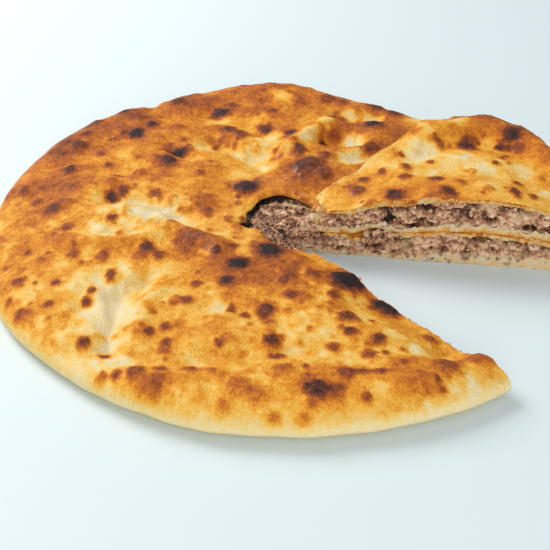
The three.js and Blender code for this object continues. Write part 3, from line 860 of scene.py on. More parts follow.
PIE_LOW_POINTS = (7, 30)  # along the foot and along the hollow's floor
pie_heights = (no_foot, pie_top, pie_roof)
pie_points, pie_finish = crust_points(
    CUT_START, pie_angles, pie_reach, pie_lip, *pie_heights, pie_brown, PIE_BAND, PIE_LOW_POINTS
)
pie_crust, pie_cap_start = crust_piece("pie_baked_crust", pie_points, pie_finish, "pie_crust")

# %% [markdown]
# ## The slice's crust
# The slice is made the same way from its own tip. The top crust has come off the tip, so its lip is set
# back. Its outer rim is browned, and the rest is paler than the pie, with flour on it.

# %% The slice's reach and lip
SLICE_ROWS = 200
BARE_TIP, BARE_RIGHT, SLICE_LIP_UNEVEN = 12, 2, 1.5
slice_angles = np.radians(np.linspace(SLICE_RIGHT, SLICE_LEFT, SLICE_ROWS))
slice_reach = slice_length(slice_angles) + RIM_UNEVEN * round_noise(slice_angles, 60, 2.0, 6)
slice_lip = BARE_TIP + BARE_RIGHT * bell(np.degrees(slice_angles) - SLICE_RIGHT, 10)
slice_lip = slice_lip + SLICE_LIP_UNEVEN * round_noise(slice_angles, 20, 3.0, 4)
print("The slice reaches", round(float(slice_reach.max())), "mm")

# %% The slice's browning
SLICE_GOLD, SLICE_PER_MM, SLICE_RELIEF = 0.34, 0.03, (-5, 4)
SLICE_RIM, SLICE_RIM_MORE = (0.78, 1.0), 0.24
SLICE_DUST, SLICE_CREAM, SLICE_PALE_AND_LIT = 0.16, 0.16, (0.2, 0.7)
OTHER_MOTTLE = 300  # the slice takes its mottle from elsewhere, so that it doesn't repeat the pie's


def slice_height_at(x, y):
    return slice_foot(x, y) + slice_top(x, y)


def slice_brown(x, y, level):
    dx, dy = x - SLICE_TIP[0], y - SLICE_TIP[1]
    share = np.hypot(dx, dy) / slice_length(np.arctan2(dy, dx))
    relief = slice_top(x, y) - slice_dome(x, y)
    hotter = smooth(share, *SLICE_RIM)
    brown = SLICE_GOLD + SLICE_PER_MM * np.clip(relief, *SLICE_RELIEF) + SLICE_RIM_MORE * hotter
    mottling = mottle(x + OTHER_MOTTLE, y, SLICE_DUST * smooth(dy, 2, 20))
    layers = (SLICE_TOASTED, slice_specks, SLICE_PALE, SLICE_MARKS)
    brown, lift = browned(x, y, brown, mottling, *layers, slice_height_at, SLICE_PLAN_HEIGHT)
    # low on the slice's rim the browning turns toward cream: paler dough, with painted light from below
    shaded = 1 - smooth(level, *SLICE_PALE_AND_LIT)
    return brown + (SLICE_CREAM - brown) * shaded[None, :], lift


SLICE_LOW_POINTS = (70, 30)
slice_heights = (slice_foot, slice_top, slice_roof)
slice_points, slice_finish = crust_points(
    SLICE_TIP, slice_angles, slice_reach, slice_lip, *slice_heights,
    slice_brown, SLICE_BAND, SLICE_LOW_POINTS,
)
slice_crust, slice_cap_start = crust_piece("slice_baked_crust", slice_points, slice_finish, "slice_crust")

# %% [markdown]
# ## Dough at the cuts
# Each cut shows a band of dough above the meat and one below it. A band is a ribbon that lies on the
# cut face and bulges a little, with its back sunk into the crust. Its edge toward the meat wanders, as
# dough and meat stick together. The stored skin tone runs from pale dough inside to the browned
# outside.

# %% A ribbon of dough
RIBBON_STEPS, RIBBON_POINTS = 330, 12
RIBBON_BULGE, RIBBON_SUNK = 0.7, 0.8
RIBBON_NEAR_END, RIBBON_FAR_END = 2, 6


def ribbon(start, angle, outward, distance, low, high, tones):
    """Points of one ribbon between two lines of heights along a cut, and the tone of each point."""
    x, y = ray_places(start, np.array([angle]), distance[None, :])
    share = np.linspace(0, 1, RIBBON_POINTS)[None, :]
    fx, fy = np.repeat(x.T, RIBBON_POINTS, 1), np.repeat(y.T, RIBBON_POINTS, 1)
    fz = low[:, None] + (high - low)[:, None] * share
    rough = 0.7 * soft_noise(fx, fy, fz, 1.7) + 0.35 * soft_noise(fx, fy, fz, 4.0)
    ends = smooth(distance - distance[0], 0, RIBBON_NEAR_END)
    ends = ends * (1 - smooth(distance - distance[-1], -RIBBON_FAR_END, 0))
    out = RIBBON_BULGE * np.sin(math.pi * (0.06 + 0.88 * share)) ** 0.5 + rough
    out = outward * (out * ends[:, None] - RIBBON_SUNK * (1 - ends[:, None]))
    front = np.stack([fx - out * math.sin(angle), fy + out * math.cos(angle), fz], -1)
    back_x = fx[:, [-1, 0]] + outward * RIBBON_SUNK * math.sin(angle)
    back_y = fy[:, [-1, 0]] - outward * RIBBON_SUNK * math.cos(angle)
    back = np.stack([back_x, back_y, fz[:, [-2, 1]]], -1)
    stain = 0.18 * soft_noise(fx, fy, fz, 9.0) + 0.28 * soft_noise(fx, fy, fz, 2.2)
    tone = np.clip(np.interp(share, (0, 0.5, 1), tones) + stain, 0, 1)
    return np.concatenate([front, back], 1), np.concatenate([tone, tone[:, [-1, 0]]], 1)


print("A ribbon has", RIBBON_STEPS * (RIBBON_POINTS + 2), "points")

# %% Both ribbons of a cut
FRAY, FRAY_NOISE = 1.5, [(1.0, 11.0, 3.0), (0.6, 12.0, 1.4)]
RIBBON_REACH, BOTTOM_START = 0.97, 3.0
BELOW_TOP, ABOVE_FOOT = 0.25, 0.15
OVER_MEAT, THINNEST = 0.3, 0.9


def cut_ribbons(points, start, angle, reach, row, foot, roof, band, tones):
    """Both ribbons of one cut: under the top crust's edge, and on the bottom crust."""
    outward = -1 if row == 0 else 1
    top_line = points[row, :TOP_POINTS]
    away = np.hypot(top_line[:, 0] - start[0], top_line[:, 1] - start[1])
    far = (reach - RIM_WALL) * RIBBON_REACH
    made = []
    for near, side in ((away[0] + OVER_MEAT, "top"), (BOTTOM_START, "bottom")):
        distance = np.linspace(near, far, RIBBON_STEPS)
        x, y = ray_places(start, np.array([angle]), distance[None, :])
        fray = FRAY * layered_noise(x[0], y[0], FRAY_NOISE)
        under = foot(x[0], y[0])
        if side == "top":
            high = np.interp(distance, away, top_line[:, 2]) - BELOW_TOP
            low = np.minimum(under + roof(x[0], y[0]) + 0.5 * fray, high - THINNEST)
        else:
            low = under + ABOVE_FOOT
            thick = floor_at(x[0], y[0], distance, band) + fray + OVER_MEAT
            high = under + np.maximum(thick, THINNEST)
        made.append(ribbon(start, angle, outward, distance, low, high, tones[side]))
    return made


print("The ribbons' edges wander by about", FRAY, "mm")

# %% The cut dough's pieces
# Tones at a ribbon's lower edge, middle and upper edge
PIE_TONES = {"top": (0.5, 0.6, 0.78), "bottom": (0.3, 0.24, 0.08)}
SLICE_TONES = {"top": (0.56, 0.66, 0.76), "bottom": (0.7, 0.42, 0.14)}


def ribbon_piece(name, points, start, angles, reach, *cut):
    """The ribbons of both cuts as one piece."""
    ribbons = []
    for row in (0, -1):
        ribbons += cut_ribbons(points, start, angles[row], reach[row], row, *cut)
    blocks, faces, tones = [], [], []
    for places, tone in ribbons:
        rows, columns = places.shape[:2]
        first = sum(len(block) for block in blocks)
        faces += grid_quads(rows, columns, True, first).tolist()
        faces.append(list(range(first + columns - 1, first - 1, -1)))
        faces.append(list(range(first + (rows - 1) * columns, first + rows * columns)))
        blocks.append(places.reshape(-1, 3))
        tones.append(tone.ravel())
    piece = make_piece(name, np.concatenate(blocks), faces, None)
    store(piece, skin=np.concatenate(tones))
    return piece


pie_cut = (no_foot, pie_roof, PIE_BAND, PIE_TONES)
pie_rays = (CUT_START, pie_angles, pie_reach)
pie_ribbons = ribbon_piece("pie_cut_dough", pie_points, *pie_rays, *pie_cut)
slice_cut = (slice_foot, slice_roof, SLICE_BAND, SLICE_TONES)
slice_rays = (SLICE_TIP, slice_angles, slice_reach)
slice_ribbons = ribbon_piece("slice_cut_dough", slice_points, *slice_rays, *slice_cut)

# %% [markdown]
# ## The minced meat
# Cooked mince breaks along its lumps and leaves pits between them, which get painted shade. The lump
# noise at two sizes gives clumps and grains; bending the places first keeps them from looking like
# bubbles. A sculpt would also do, but noise covers every cut at once. Bits of pale fat are mixed in.

# %% Clumps and fat
CLUMP_SIZE, GRAIN_SIZE, CAVITY_SIZE = 5.5, 2.1, 6.0
BEND, BEND_SIZE, BEND_DOWN = 1.7, 2.6, 1.4
MEAT_TONE = 0.34


def meat_craggy(x, y, z):
    """How far a point of a cut face stands out, and how dark it is, with painted shade in its pits."""
    bend = soft_noise(x, y, z, BEND_SIZE)
    wx, wy = x + BEND * bend, y + BEND * soft_noise(x + 70, y, z, BEND_SIZE)
    wz = 1.25 * z - BEND_DOWN * bend
    clumps = lump_noise(wx, wy, wz, CLUMP_SIZE) - 0.5
    grains = lump_noise(wx + 40, wy, wz, GRAIN_SIZE) - 0.5
    fine = soft_noise(x, y, z, 1.2)
    cavity = smooth(soft_noise(x, y, 1.5 * z, CAVITY_SIZE), 0.22, 0.55)
    out = 0.4 * fine - 4.0 * clumps - 1.8 * grains - 3.8 * cavity
    # gaps between lumps and cavities are painted darker as shade; the rest is the mince's own tone
    dark = MEAT_TONE + 1.05 * clumps + 0.75 * grains - 0.15 * fine + 0.45 * cavity
    return out, np.clip(dark, -0.1, 1.2)


def fat_at(x, y, z):
    """Share of pale fat and dough in the meat, in lumps."""
    return 0.75 * smooth(soft_noise(x + 20, y, z, 6.0) + 0.4 * soft_noise(x, y, z, 2.2), 0.45, 0.75)


print("Clumps of", CLUMP_SIZE, "mm and grains of", GRAIN_SIZE, "mm")

# %% [markdown]
# ## Building the meat
# The meat fills the hollow. Its body is one grid seen from above and one from below, closed at the rim.
# Only the cut faces and the patch under the vent show, so those get fine grids that are pushed in and
# out.

# %% Body and cut faces of the meat
MEAT_COLUMNS, MEAT_LAYERS = 230, 26
MEAT_GAP = 0.15
# Gap between the meat and the top crust, which begins at these shares of the meat's height
GAP_DEPTH, GAP_FROM, GAP_PAINTED_SHADE = 4.0, (0.66, 0.86), 0.16
TOP_CRAGGY, FACE_SUNK, HIDDEN_TONE = 0.45, 0.3, 0.5
FACE_EDGES = (0.08, 0.96)


def meat_body(start, angles, reach, foot, roof, sunk, band):
    """Grid of the meat seen from above: places, heights of both sides, and how dark the upper side is."""
    along = np.linspace(NEAR_START, 1, MEAT_COLUMNS)
    distance = (reach - RIM_WALL - MEAT_GAP)[:, None] * along[None, :]
    x, y = ray_places(start, angles, distance)
    low = foot(x, y) + floor_at(x, y, distance, band)
    high = foot(x, y) + roof(x, y) - MEAT_GAP
    bend = np.clip((along - HOLLOW_FLAT) / HOLLOW_ROUND, 0, 1)
    closing = np.sqrt(np.clip(1 - bend**2, 0, 1))[None, :]
    middle, half = (low + high) / 2, (high - low) / 2 * closing
    craggy, depth = meat_craggy(x, y, middle)
    drop, showing, painted_shade = sunk(x, y)
    top = middle + half - drop + TOP_CRAGGY * showing * craggy
    # the upper side's darkness is the mince's tone with painted shade, most of all in the vent
    return x, y, middle - half, top, depth * showing + HIDDEN_TONE * (1 - showing) + painted_shade


def meat_faces(x, y, low, top, angle, row, outward):
    """The fine grid of one cut face, from the foot of the meat to its top."""
    share = np.linspace(0, 1, MEAT_LAYERS)[None, :]
    fx = np.repeat(x[row][:, None], MEAT_LAYERS, 1)
    fy = np.repeat(y[row][:, None], MEAT_LAYERS, 1)
    fz = low[row][:, None] + (top[row] - low[row])[:, None] * share
    craggy, depth = meat_craggy(fx, fy, fz)
    gap = GAP_DEPTH * smooth(share, *GAP_FROM) * smooth(soft_noise(fx, fy, 8.0, 12), -0.2, 0.3)
    edge = np.minimum(smooth(share, 0, FACE_EDGES[0]), 1 - smooth(share, FACE_EDGES[1], 1))
    push = outward * (craggy - FACE_SUNK - gap) * edge
    fx, fy = fx - push * math.sin(angle), fy + push * math.cos(angle)
    # the gap under the top crust is painted darker: painted shade
    return np.stack([fx, fy, fz], -1), depth + GAP_PAINTED_SHADE * gap


print("A cut face has", MEAT_COLUMNS * MEAT_LAYERS, "points")

# %% A filling in one piece
DOUGH_BIT, DOUGH_BIT_HALF, DOUGH_BIT_ABOVE = (5, 19), (7, 3), 7
HIDDEN_PIT = 0.6


def soft_dough_at(x, y, z):
    """A pale bit of dough that lies on the meat at the back of the vent."""
    ragged = 0.3 * soft_noise(x, y, 3.0, 2.5)
    along, across = (x - DOUGH_BIT[0]) / DOUGH_BIT_HALF[0], (y - DOUGH_BIT[1]) / DOUGH_BIT_HALF[1]
    return 0.8 * (1 - smooth(np.hypot(along, across) + ragged, 0.5, 1.2)) * (z > DOUGH_BIT_ABOVE)


def filling_piece(name, node, start, angles, reach, *heights):
    """The meat as one piece, with the points of both its cut faces."""
    x, y, low, top, depth = meat_body(start, angles, reach, *heights)
    rows, columns = x.shape
    upper = np.stack([x, y, top], -1)
    lower = np.stack([x, y, low], -1)
    first, first_depth = meat_faces(x, y, low, top, angles[0], 0, -1)
    last, last_depth = meat_faces(x, y, low, top, angles[-1], rows - 1, 1)
    blocks = [grid.reshape(-1, 3) for grid in (upper, lower, first, last)]
    starts = np.cumsum([0] + [len(block) for block in blocks])
    faces = np.concatenate(
        [
            grid_quads(rows, columns, False, starts[0])[:, ::-1],
            grid_quads(rows, columns, False, starts[1]),
            grid_quads(columns, MEAT_LAYERS, False, starts[2])[:, ::-1],
            grid_quads(columns, MEAT_LAYERS, False, starts[3]),
        ]
    )
    points = np.concatenate(blocks)
    piece = make_piece(name, points, faces, node)
    hidden = np.full(low.shape, HIDDEN_PIT)
    store(piece, pit=np.concatenate([d.ravel() for d in (depth, hidden, first_depth, last_depth)]))
    store(piece, fat=np.maximum(fat_at(*points.T), soft_dough_at(*points.T)))
    return piece, blocks[2], blocks[3]


print("The bit of dough in the vent is", 2 * DOUGH_BIT_HALF[0], "mm long")

# %% [markdown]
# ## Both fillings
# In the vent the meat has sunk below the crust, most of all at its back, where it lies in the shade of
# the lip; that shade is also painted onto it, and the vent's bare meat gets painted shade as well. At the
# slice's bare tip it slopes down to the point.

# %% Both fillings
VENT_SINK, VENT_PAINTED_SHADE = 3.2, 0.7
BARE_SINK, BARE_PAINTED_SHADE = 0.8, 0.14
TIP_DROP, TIP_SLOPE = 8, (0.5, 1.9)  # the slope's start and end, in shares of the bare tip
PIE_MEAT_ROWS, SLICE_MEAT_STEP = 150, 5


def sunk_at_vent(x, y):
    """How far the meat lies below the crust at the vent, how bare it is, and its painted shade."""
    past, toward = past_lip(x, y), from_cuts(x, y)[0]
    at_back = smooth(toward, 45, 95) * (1 - smooth(toward, 145, 172))
    shaded = at_back * smooth(past, -5, -0.5)
    hollow = VENT_SINK * shaded * (1 - smooth(past, 9, 17))
    showing = 1 - smooth(past, 0, 5)
    bare = np.maximum(showing, at_back * (1 - smooth(past, 8, 14)))
    # painted shade: darker at the back under the lip, and a little darker on all the bare meat in the
    # vent
    return hollow + BARE_SINK * showing, bare, VENT_PAINTED_SHADE * shaded + BARE_PAINTED_SHADE * showing


def not_sunk(x, y):
    return 0 * x, 0 * x, 0 * x


def sloped_tip(x, y):
    """Roof of the slice's meat, which falls toward the tip."""
    away = np.hypot(x - SLICE_TIP[0], y - SLICE_TIP[1])
    fall = 1 - smooth(away, TIP_SLOPE[0] * BARE_TIP, TIP_SLOPE[1] * BARE_TIP)
    return slice_roof(x, y) - TIP_DROP * fall


spread_rows = np.linspace(0, PIE_ROWS - 1, PIE_MEAT_ROWS).astype(int)
pie_meat = (no_foot, pie_roof, sunk_at_vent, PIE_BAND)
pie_filling, pie_back_face, pie_front_face = filling_piece(
    "pie_mince", "pie_filling", CUT_START,
    pie_angles[spread_rows], pie_reach[spread_rows], *pie_meat,
)
some_rows = slice(None, None, SLICE_MEAT_STEP)
slice_meat = (slice_foot, sloped_tip, not_sunk, SLICE_BAND)
slice_filling, slice_right_face, slice_left_face = filling_piece(
    "slice_mince", "slice_filling", SLICE_TIP,
    slice_angles[some_rows], slice_reach[some_rows], *slice_meat,
)

# %% [markdown]
# ## A crumb
# A cut face of mince isn't one surface: crumbs cling to it. Each crumb is a small ball, dented by noise
# and squashed. Hundreds of them, half sunk into the faces, are joined into one mesh, which is much
# faster than one object each.

# %% Crumbs from balls
FLOOR_GAP = 0.05  # crumbs stay this far above the floor
CRUMB_TONE, DENT_PAINTED_SHADE, TONE_SPREAD = 0.64, 0.6, 0.7
DENT, DENT_SCALE, DENT_SIZE = 0.6, 1.3, 0.8
SQUASHED, LONGER = 0.55, 0.8
MANY_SMALL = 2.2


def ball():
    """Points and triangles of a small faceted ball."""
    mesh = bpy.data.meshes.new("ball")
    work = bmesh.new()
    bmesh.ops.create_icosphere(work, subdivisions=2, radius=1)
    work.to_mesh(mesh)
    work.free()
    points = np.array([v.co for v in mesh.vertices])
    faces = np.array([p.vertices for p in mesh.polygons])
    bpy.data.meshes.remove(mesh)
    return points, faces


def crumbs_on(places, count, smallest, largest, shade, seed):
    """Points, triangles and darkness, with painted shade, of crumbs at random ones of the places."""
    draw = np.random.default_rng(seed)
    points, faces = ball()
    chosen = places[draw.integers(0, len(places), count)]
    size = smallest + (largest - smallest) * draw.random(count) ** MANY_SMALL
    shape = SQUASHED + LONGER * draw.random((count, 1, 3))
    noise_places = points[None] * DENT_SCALE + 50 * draw.random((count, 1, 3))
    dent = 1 + DENT * soft_noise(*np.moveaxis(noise_places, -1, 0), DENT_SIZE)
    bodies = chosen[:, None, :] + size[:, None, None] * shape * points[None] * dent[..., None]
    bodies[..., 2] = np.maximum(bodies[..., 2], FLOOR_GAP)
    # dented parts are painted darker and bulging parts lighter: painted shade and light
    tone = CRUMB_TONE + DENT_PAINTED_SHADE * (dent - 1) + TONE_SPREAD * (draw.random((count, 1)) - 0.5)
    all_faces = (faces[None] + len(points) * np.arange(count)[:, None, None]).reshape(-1, 3)
    return bodies.reshape(-1, 3), all_faces, (1 - np.clip(tone, 0, 1) + shade).ravel()


print("A crumb has", len(ball()[0]), "points")

# %% [markdown]
# ## Where the mince crumbs lie
# Crumbs lie on the cut faces, in the vent, on the slice's bare tip, and where the meat swells out
# between the pie and the slice. On a mesh we take the places of its own points; elsewhere they are
# drawn at random.

# %% Places of the mince crumbs
BULGE_ALONG, BULGE_SPREAD, BULGE_OUT = 57, 4.5, 1.2
BULGE_LOW, BULGE_HIGH = 10, 6.5
TIP_REACH = 1.25


def point_places(piece):
    return np.array([v.co for v in piece.data.vertices]) / MM - [shift_x, shift_y, 0]


def tip_places(count, seed):
    """Random places on the bare tip of the slice's meat."""
    draw = np.random.default_rng(seed)
    away = TIP_REACH * BARE_TIP * np.sqrt(draw.random(count))
    angle = np.radians(SLICE_RIGHT + (SLICE_LEFT - SLICE_RIGHT) * draw.random(count))
    x, y = SLICE_TIP[0] + away * np.cos(angle), SLICE_TIP[1] + away * np.sin(angle)
    level = BOTTOM_CRUST + (sloped_tip(x, y) - BOTTOM_CRUST) * draw.random(count) ** 0.5
    return np.stack([x, y, slice_foot(x, y) + level], -1)


def bulge_places(count, seed):
    """Random places where the meat swells out between the pie and the slice."""
    draw = np.random.default_rng(seed)
    along = BULGE_ALONG + BULGE_SPREAD * draw.standard_normal(count)
    cut = math.radians(BACK_CUT)
    out = BULGE_OUT * draw.random(count)
    x = CUT_START[0] + along * math.cos(cut) + out * math.sin(cut)
    y = CUT_START[1] + along * math.sin(cut) - out * math.cos(cut)
    return np.stack([x, y, BULGE_LOW + BULGE_HIGH * draw.random(count)], -1)


def vent_places():
    """Places on the bare meat in the vent, apart from the bit of dough on it."""
    places = point_places(pie_filling)
    in_vent = (past_lip(places[:, 0], places[:, 1]) < 1) & (places[:, 2] > DOUGH_BIT_ABOVE)
    return places[in_vent & (soft_dough_at(*places.T) < 0.3)]


print("There are", len(vent_places()), "places for crumbs in the vent")

# %% Crumbs of mince
pie_faces = np.concatenate([pie_back_face, pie_front_face])
slice_faces = np.concatenate([slice_right_face, slice_left_face])
MINCE_CRUMBS = [  # name, places, count, smallest, largest, shade, seed
    # the shade column is painted shade: the vent's crumbs and those between the pie and the slice lie in
    # hollows
    ("pie_cut_crumbs", pie_faces, 560, 0.4, 1.4, 0.04, 5),
    ("slice_cut_crumbs", slice_faces, 480, 0.4, 1.5, 0.04, 6),
    ("vent_crumbs", vent_places(), 1000, 0.35, 1.15, 0.32, 7),
    ("tip_crumbs", tip_places(400, 8), 200, 0.5, 1.6, 0.04, 9),
    ("bulge_crumbs", bulge_places(130, 10), 130, 0.8, 2.0, 0.2, 11),
]
mince_crumbs = []
for name, *crumbs in MINCE_CRUMBS:
    points, faces, pit = crumbs_on(*crumbs)
    piece = make_piece(name, points, faces, None)
    store(piece, pit=pit)
    mince_crumbs.append(piece)

# %% [markdown]
# ## Crumbs of dough
# The knife also left small crumbs of dough on the ribbons, and the top crust tore at the slice's tip.
# They are made as the crumbs of mince are, but hold a skin tone, since they get the finish of cut
# dough.

# %% Crumbs of dough
TORN_FROM, TORN_DOWN = (22, -14.2, 29.5), (-6, 0.6, -9.5)
TORN_SPREAD = (1.1, 0.5, 0.7)
LEAST_DOUGH_CRUMB, DOUGH_CRUMB_SKIN = 0.25, 0.7


def torn_places(count, seed):
    """Places down the torn edge of the slice's top crust at its tip."""
    draw = np.random.default_rng(seed)
    down = draw.random(count)[:, None]
    line = np.array(TORN_FROM) + down * np.array(TORN_DOWN)
    return line + TORN_SPREAD * draw.standard_normal((count, 3))


DOUGH_CRUMBS = [  # name, places, count, largest, seed
    ("pie_dough_crumbs", point_places(pie_ribbons), 340, 0.75, 12),
    ("slice_dough_crumbs", point_places(slice_ribbons), 320, 0.75, 13),
    ("torn_dough", torn_places(60, 14), 60, 1.8, 15),
]
dough_crumbs = []
for name, places, count, largest, seed in DOUGH_CRUMBS:
    points, faces, pit = crumbs_on(places, count, LEAST_DOUGH_CRUMB, largest, 0, seed)
    piece = make_piece(name, points, faces, None)
    store(piece, skin=DOUGH_CRUMB_SKIN * (1 - pit))
    dough_crumbs.append(piece)

# %% [markdown]
# ## Paints and nodes
# Colours are given as they look on a screen, and turned into the linear values that Blender works with.
# A few helpers keep the node trees short: one adds a node with its values, one joins sockets, one makes
# a colour ramp.

# %% Paints and node helpers
def paint(red, green, blue):
    def linear(c):
        c = c / 255
        return c / 12.92 if c <= 0.04045 else ((c + 0.055) / 1.055) ** 2.4

    return (linear(red), linear(green), linear(blue), 1)


def new_material(name):
    material = bpy.data.materials.new(name)
    material.use_nodes = True
    tree = material.node_tree
    return material, tree, tree.nodes["Principled BSDF"]


def add_node(tree, kind, inputs=(), **settings):
    """A node with its settings, and with values for the inputs that are named or numbered."""
    node = tree.nodes.new(kind)
    for name, value in settings.items():
        setattr(node, name, value)
    for name, value in dict(inputs).items():
        node.inputs[name].default_value = value
    return node


def join(tree, *links):
    """Joins sockets. Each link is a node, its output, another node and its input."""
    for source, output, target, socket in links:
        tree.links.new(source.outputs[output], target.inputs[socket])


def colour_ramp(tree, stops):
    ramp = tree.nodes.new("ShaderNodeValToRGB")
    elements = ramp.color_ramp.elements
    while len(elements) < len(stops):
        elements.new(0.5)
    for element, (position, *colour) in zip(elements, stops):
        element.position = position
        element.color = paint(*colour)
    return ramp


print("Gold in linear values:", [round(c, 3) for c in paint(236, 180, 92)])

# %% [markdown]
# ## A fine skin for dough and meat
# Crust, cut dough and meat are all finely uneven, in colour and in height. One node group holds that
# noise, so each material only sets how fine its own grain is.

# %% Skin group
FINER = 2.6


def skin_group():
    """Node group: a value to vary a colour with and a height to bump with."""
    group = bpy.data.node_groups.new("fine skin", "ShaderNodeTree")
    group.interface.new_socket("Grain", in_out="INPUT", socket_type="NodeSocketFloat")
    group.interface.new_socket("Vary", in_out="OUTPUT", socket_type="NodeSocketFloat")
    group.interface.new_socket("Height", in_out="OUTPUT", socket_type="NodeSocketFloat")
    entry = group.nodes.new("NodeGroupInput")
    leave = group.nodes.new("NodeGroupOutput")
    place = group.nodes.new("ShaderNodeTexCoord")
    broad = add_node(group, "ShaderNodeTexNoise", {"Detail": 6.0, "Roughness": 0.62})
    fine = add_node(group, "ShaderNodeTexNoise", {"Detail": 3.0, "Roughness": 0.6})
    finer = add_node(group, "ShaderNodeMath", {1: FINER}, operation="MULTIPLY")
    join(
        group,
        (entry, "Grain", broad, "Scale"),
        (entry, "Grain", finer, 0),
        (finer, 0, fine, "Scale"),
        (place, "Object", broad, "Vector"),
        (place, "Object", fine, "Vector"),
        (broad, "Fac", leave, "Vary"),
        (fine, "Fac", leave, "Height"),
    )
    return group


fine_skin = skin_group()
print("Group", fine_skin.name, "has", len(fine_skin.nodes), "nodes")

# %% Nodes that all three finishes share
def skin_nodes(tree, shader, attribute, grain, vary_by, colours, bump_by):
    """Stored number, skin, varied value and colour ramp of a finish. Its bump is joined to the shader."""
    stored = add_node(tree, "ShaderNodeAttribute", attribute_name=attribute)
    skin = add_node(tree, "ShaderNodeGroup", {"Grain": grain}, node_tree=fine_skin)
    vary = add_node(tree, "ShaderNodeMath", {1: vary_by[0], 2: vary_by[1]}, operation="MULTIPLY_ADD")
    ramp = colour_ramp(tree, colours)
    bump = add_node(tree, "ShaderNodeBump", {"Strength": bump_by[0], "Distance": bump_by[1]})
    join(
        tree,
        (skin, "Vary", vary, 0),
        (skin, "Height", bump, "Height"),
        (bump, "Normal", shader, "Normal"),
    )
    return stored, skin, vary, ramp


print("The skin has", len(fine_skin.interface.items_tree), "sockets")

# %% [markdown]
# ## The crust's finish
# A colour ramp turns the browning into colour: cream, gold, orange, brown and char. Fine noise varies
# it between the mesh's points, less so where the dough is pale, and a bump gives the dry, slightly
# pitted skin of baked dough. Fat is a thin clear coat.

# %% The crust's material
CRUST_COLOURS = [  # browning, red, green, blue
    (0.0, 230, 222, 200),
    (0.13, 237, 210, 144),
    (0.27, 240, 186, 80),
    (0.42, 226, 148, 38),
    (0.56, 192, 106, 32),
    (0.7, 146, 74, 36),
    (0.83, 92, 50, 36),
    (0.95, 44, 33, 34),
]
CRUST_GRAIN, CRUST_VARY, CRUST_BUMP = 330, (0.44, -0.37), (0.75, 0.0013)
CRUST_SPECKLE = 0.3
PALE_CALM = {"From Min": 0.06, "From Max": 0.34, "To Min": 0.45}
CRUST_ROUGH = {"To Min": 0.4, "To Max": 0.75}


def crust_material():
    material, tree, shader = new_material("baked crust")
    bake, skin, vary, ramp = skin_nodes(
        tree, shader, "bake", CRUST_GRAIN, CRUST_VARY, CRUST_COLOURS, CRUST_BUMP
    )
    speckle = add_node(tree, "ShaderNodeMath", {1: CRUST_SPECKLE}, operation="MULTIPLY_ADD")
    calm = add_node(tree, "ShaderNodeMapRange", PALE_CALM)
    brown = add_node(tree, "ShaderNodeMath", operation="MULTIPLY_ADD")
    rough = add_node(tree, "ShaderNodeMapRange", CRUST_ROUGH)
    oil = add_node(tree, "ShaderNodeAttribute", attribute_name="oil")
    shader.inputs["Specular IOR Level"].default_value = 0.15
    shader.inputs["Coat Roughness"].default_value = 0.22
    join(
        tree,
        (skin, "Height", speckle, 0),
        (vary, 0, speckle, 2),
        (bake, "Fac", calm, "Value"),
        (speckle, 0, brown, 0),
        (calm, "Result", brown, 1),
        (bake, "Fac", brown, 2),
        (brown, 0, ramp, "Fac"),
        (ramp, "Color", shader, "Base Color"),
        (skin, "Vary", rough, "Value"),
        (rough, "Result", shader, "Roughness"),
        (oil, "Fac", shader, "Coat Weight"),
    )
    return material


baked_crust = crust_material()
print("Material", baked_crust.name, "has", len(baked_crust.node_tree.nodes), "nodes")

# %% [markdown]
# ## Finish of the cut dough
# Where the knife went through, the crust shows its inside: pale, matt and finely pored, browner toward
# its skin. The caps at the crusts' ends get it too, as a second material on the same piece.

# %% The cut dough's material
DOUGH_COLOURS = [  # skin tone, red, green, blue
    (0.0, 140, 102, 76),
    (0.2, 214, 192, 158),
    (0.42, 218, 188, 134),
    (0.62, 218, 166, 86),
    (0.8, 206, 128, 42),
    (1.0, 150, 76, 24),
]
DOUGH_GRAIN, DOUGH_VARY, DOUGH_BUMP = 420, (0.7, -0.35), (0.6, 0.001)


def cut_dough_material():
    material, tree, shader = new_material("cut dough")
    near_skin, _, vary, ramp = skin_nodes(
        tree, shader, "skin", DOUGH_GRAIN, DOUGH_VARY, DOUGH_COLOURS, DOUGH_BUMP
    )
    tone = add_node(tree, "ShaderNodeMath", operation="ADD")
    shader.inputs["Roughness"].default_value = 0.75
    shader.inputs["Specular IOR Level"].default_value = 0.2
    join(
        tree,
        (vary, 0, tone, 0),
        (near_skin, "Fac", tone, 1),
        (tone, 0, ramp, "Fac"),
        (ramp, "Color", shader, "Base Color"),
    )
    return material


def finish_crust(piece, cap_start):
    piece.data.materials.append(baked_crust)
    piece.data.materials.append(cut_dough)
    index = np.zeros(len(piece.data.polygons), int)
    index[cap_start:] = 1
    piece.data.polygons.foreach_set("material_index", index)


cut_dough = cut_dough_material()
finish_crust(pie_crust, pie_cap_start)
finish_crust(slice_crust, slice_cap_start)
for piece in (pie_ribbons, slice_ribbons, *dough_crumbs):
    piece.data.materials.append(cut_dough)
print("Material", cut_dough.name, "is on", cut_dough.users, "pieces")

# %% [markdown]
# ## The meat's finish
# Cooked mince is a grey brown with a touch of mauve. Its lumps are lighter and its pits darker, as
# painted light and shade that the stored depth gives. Bits of fat and dough are mixed in as a pale tan.

# %% The meat's material
MEAT_COLOURS = [  # depth, red, green, blue
    (0.0, 240, 206, 170),
    (0.3, 211, 161, 122),
    (0.55, 170, 118, 87),
    (0.78, 108, 70, 48),
    (1.0, 44, 28, 20),
]
MEAT_GRAIN, MEAT_VARY, MEAT_BUMP = 620, (1.4, -0.74), (0.6, 0.0012)
FAT_COLOUR = paint(206, 178, 128)
MIX_FIRST, MIX_SECOND, MIX_RESULT = 6, 7, 2  # colour sockets of the mix node


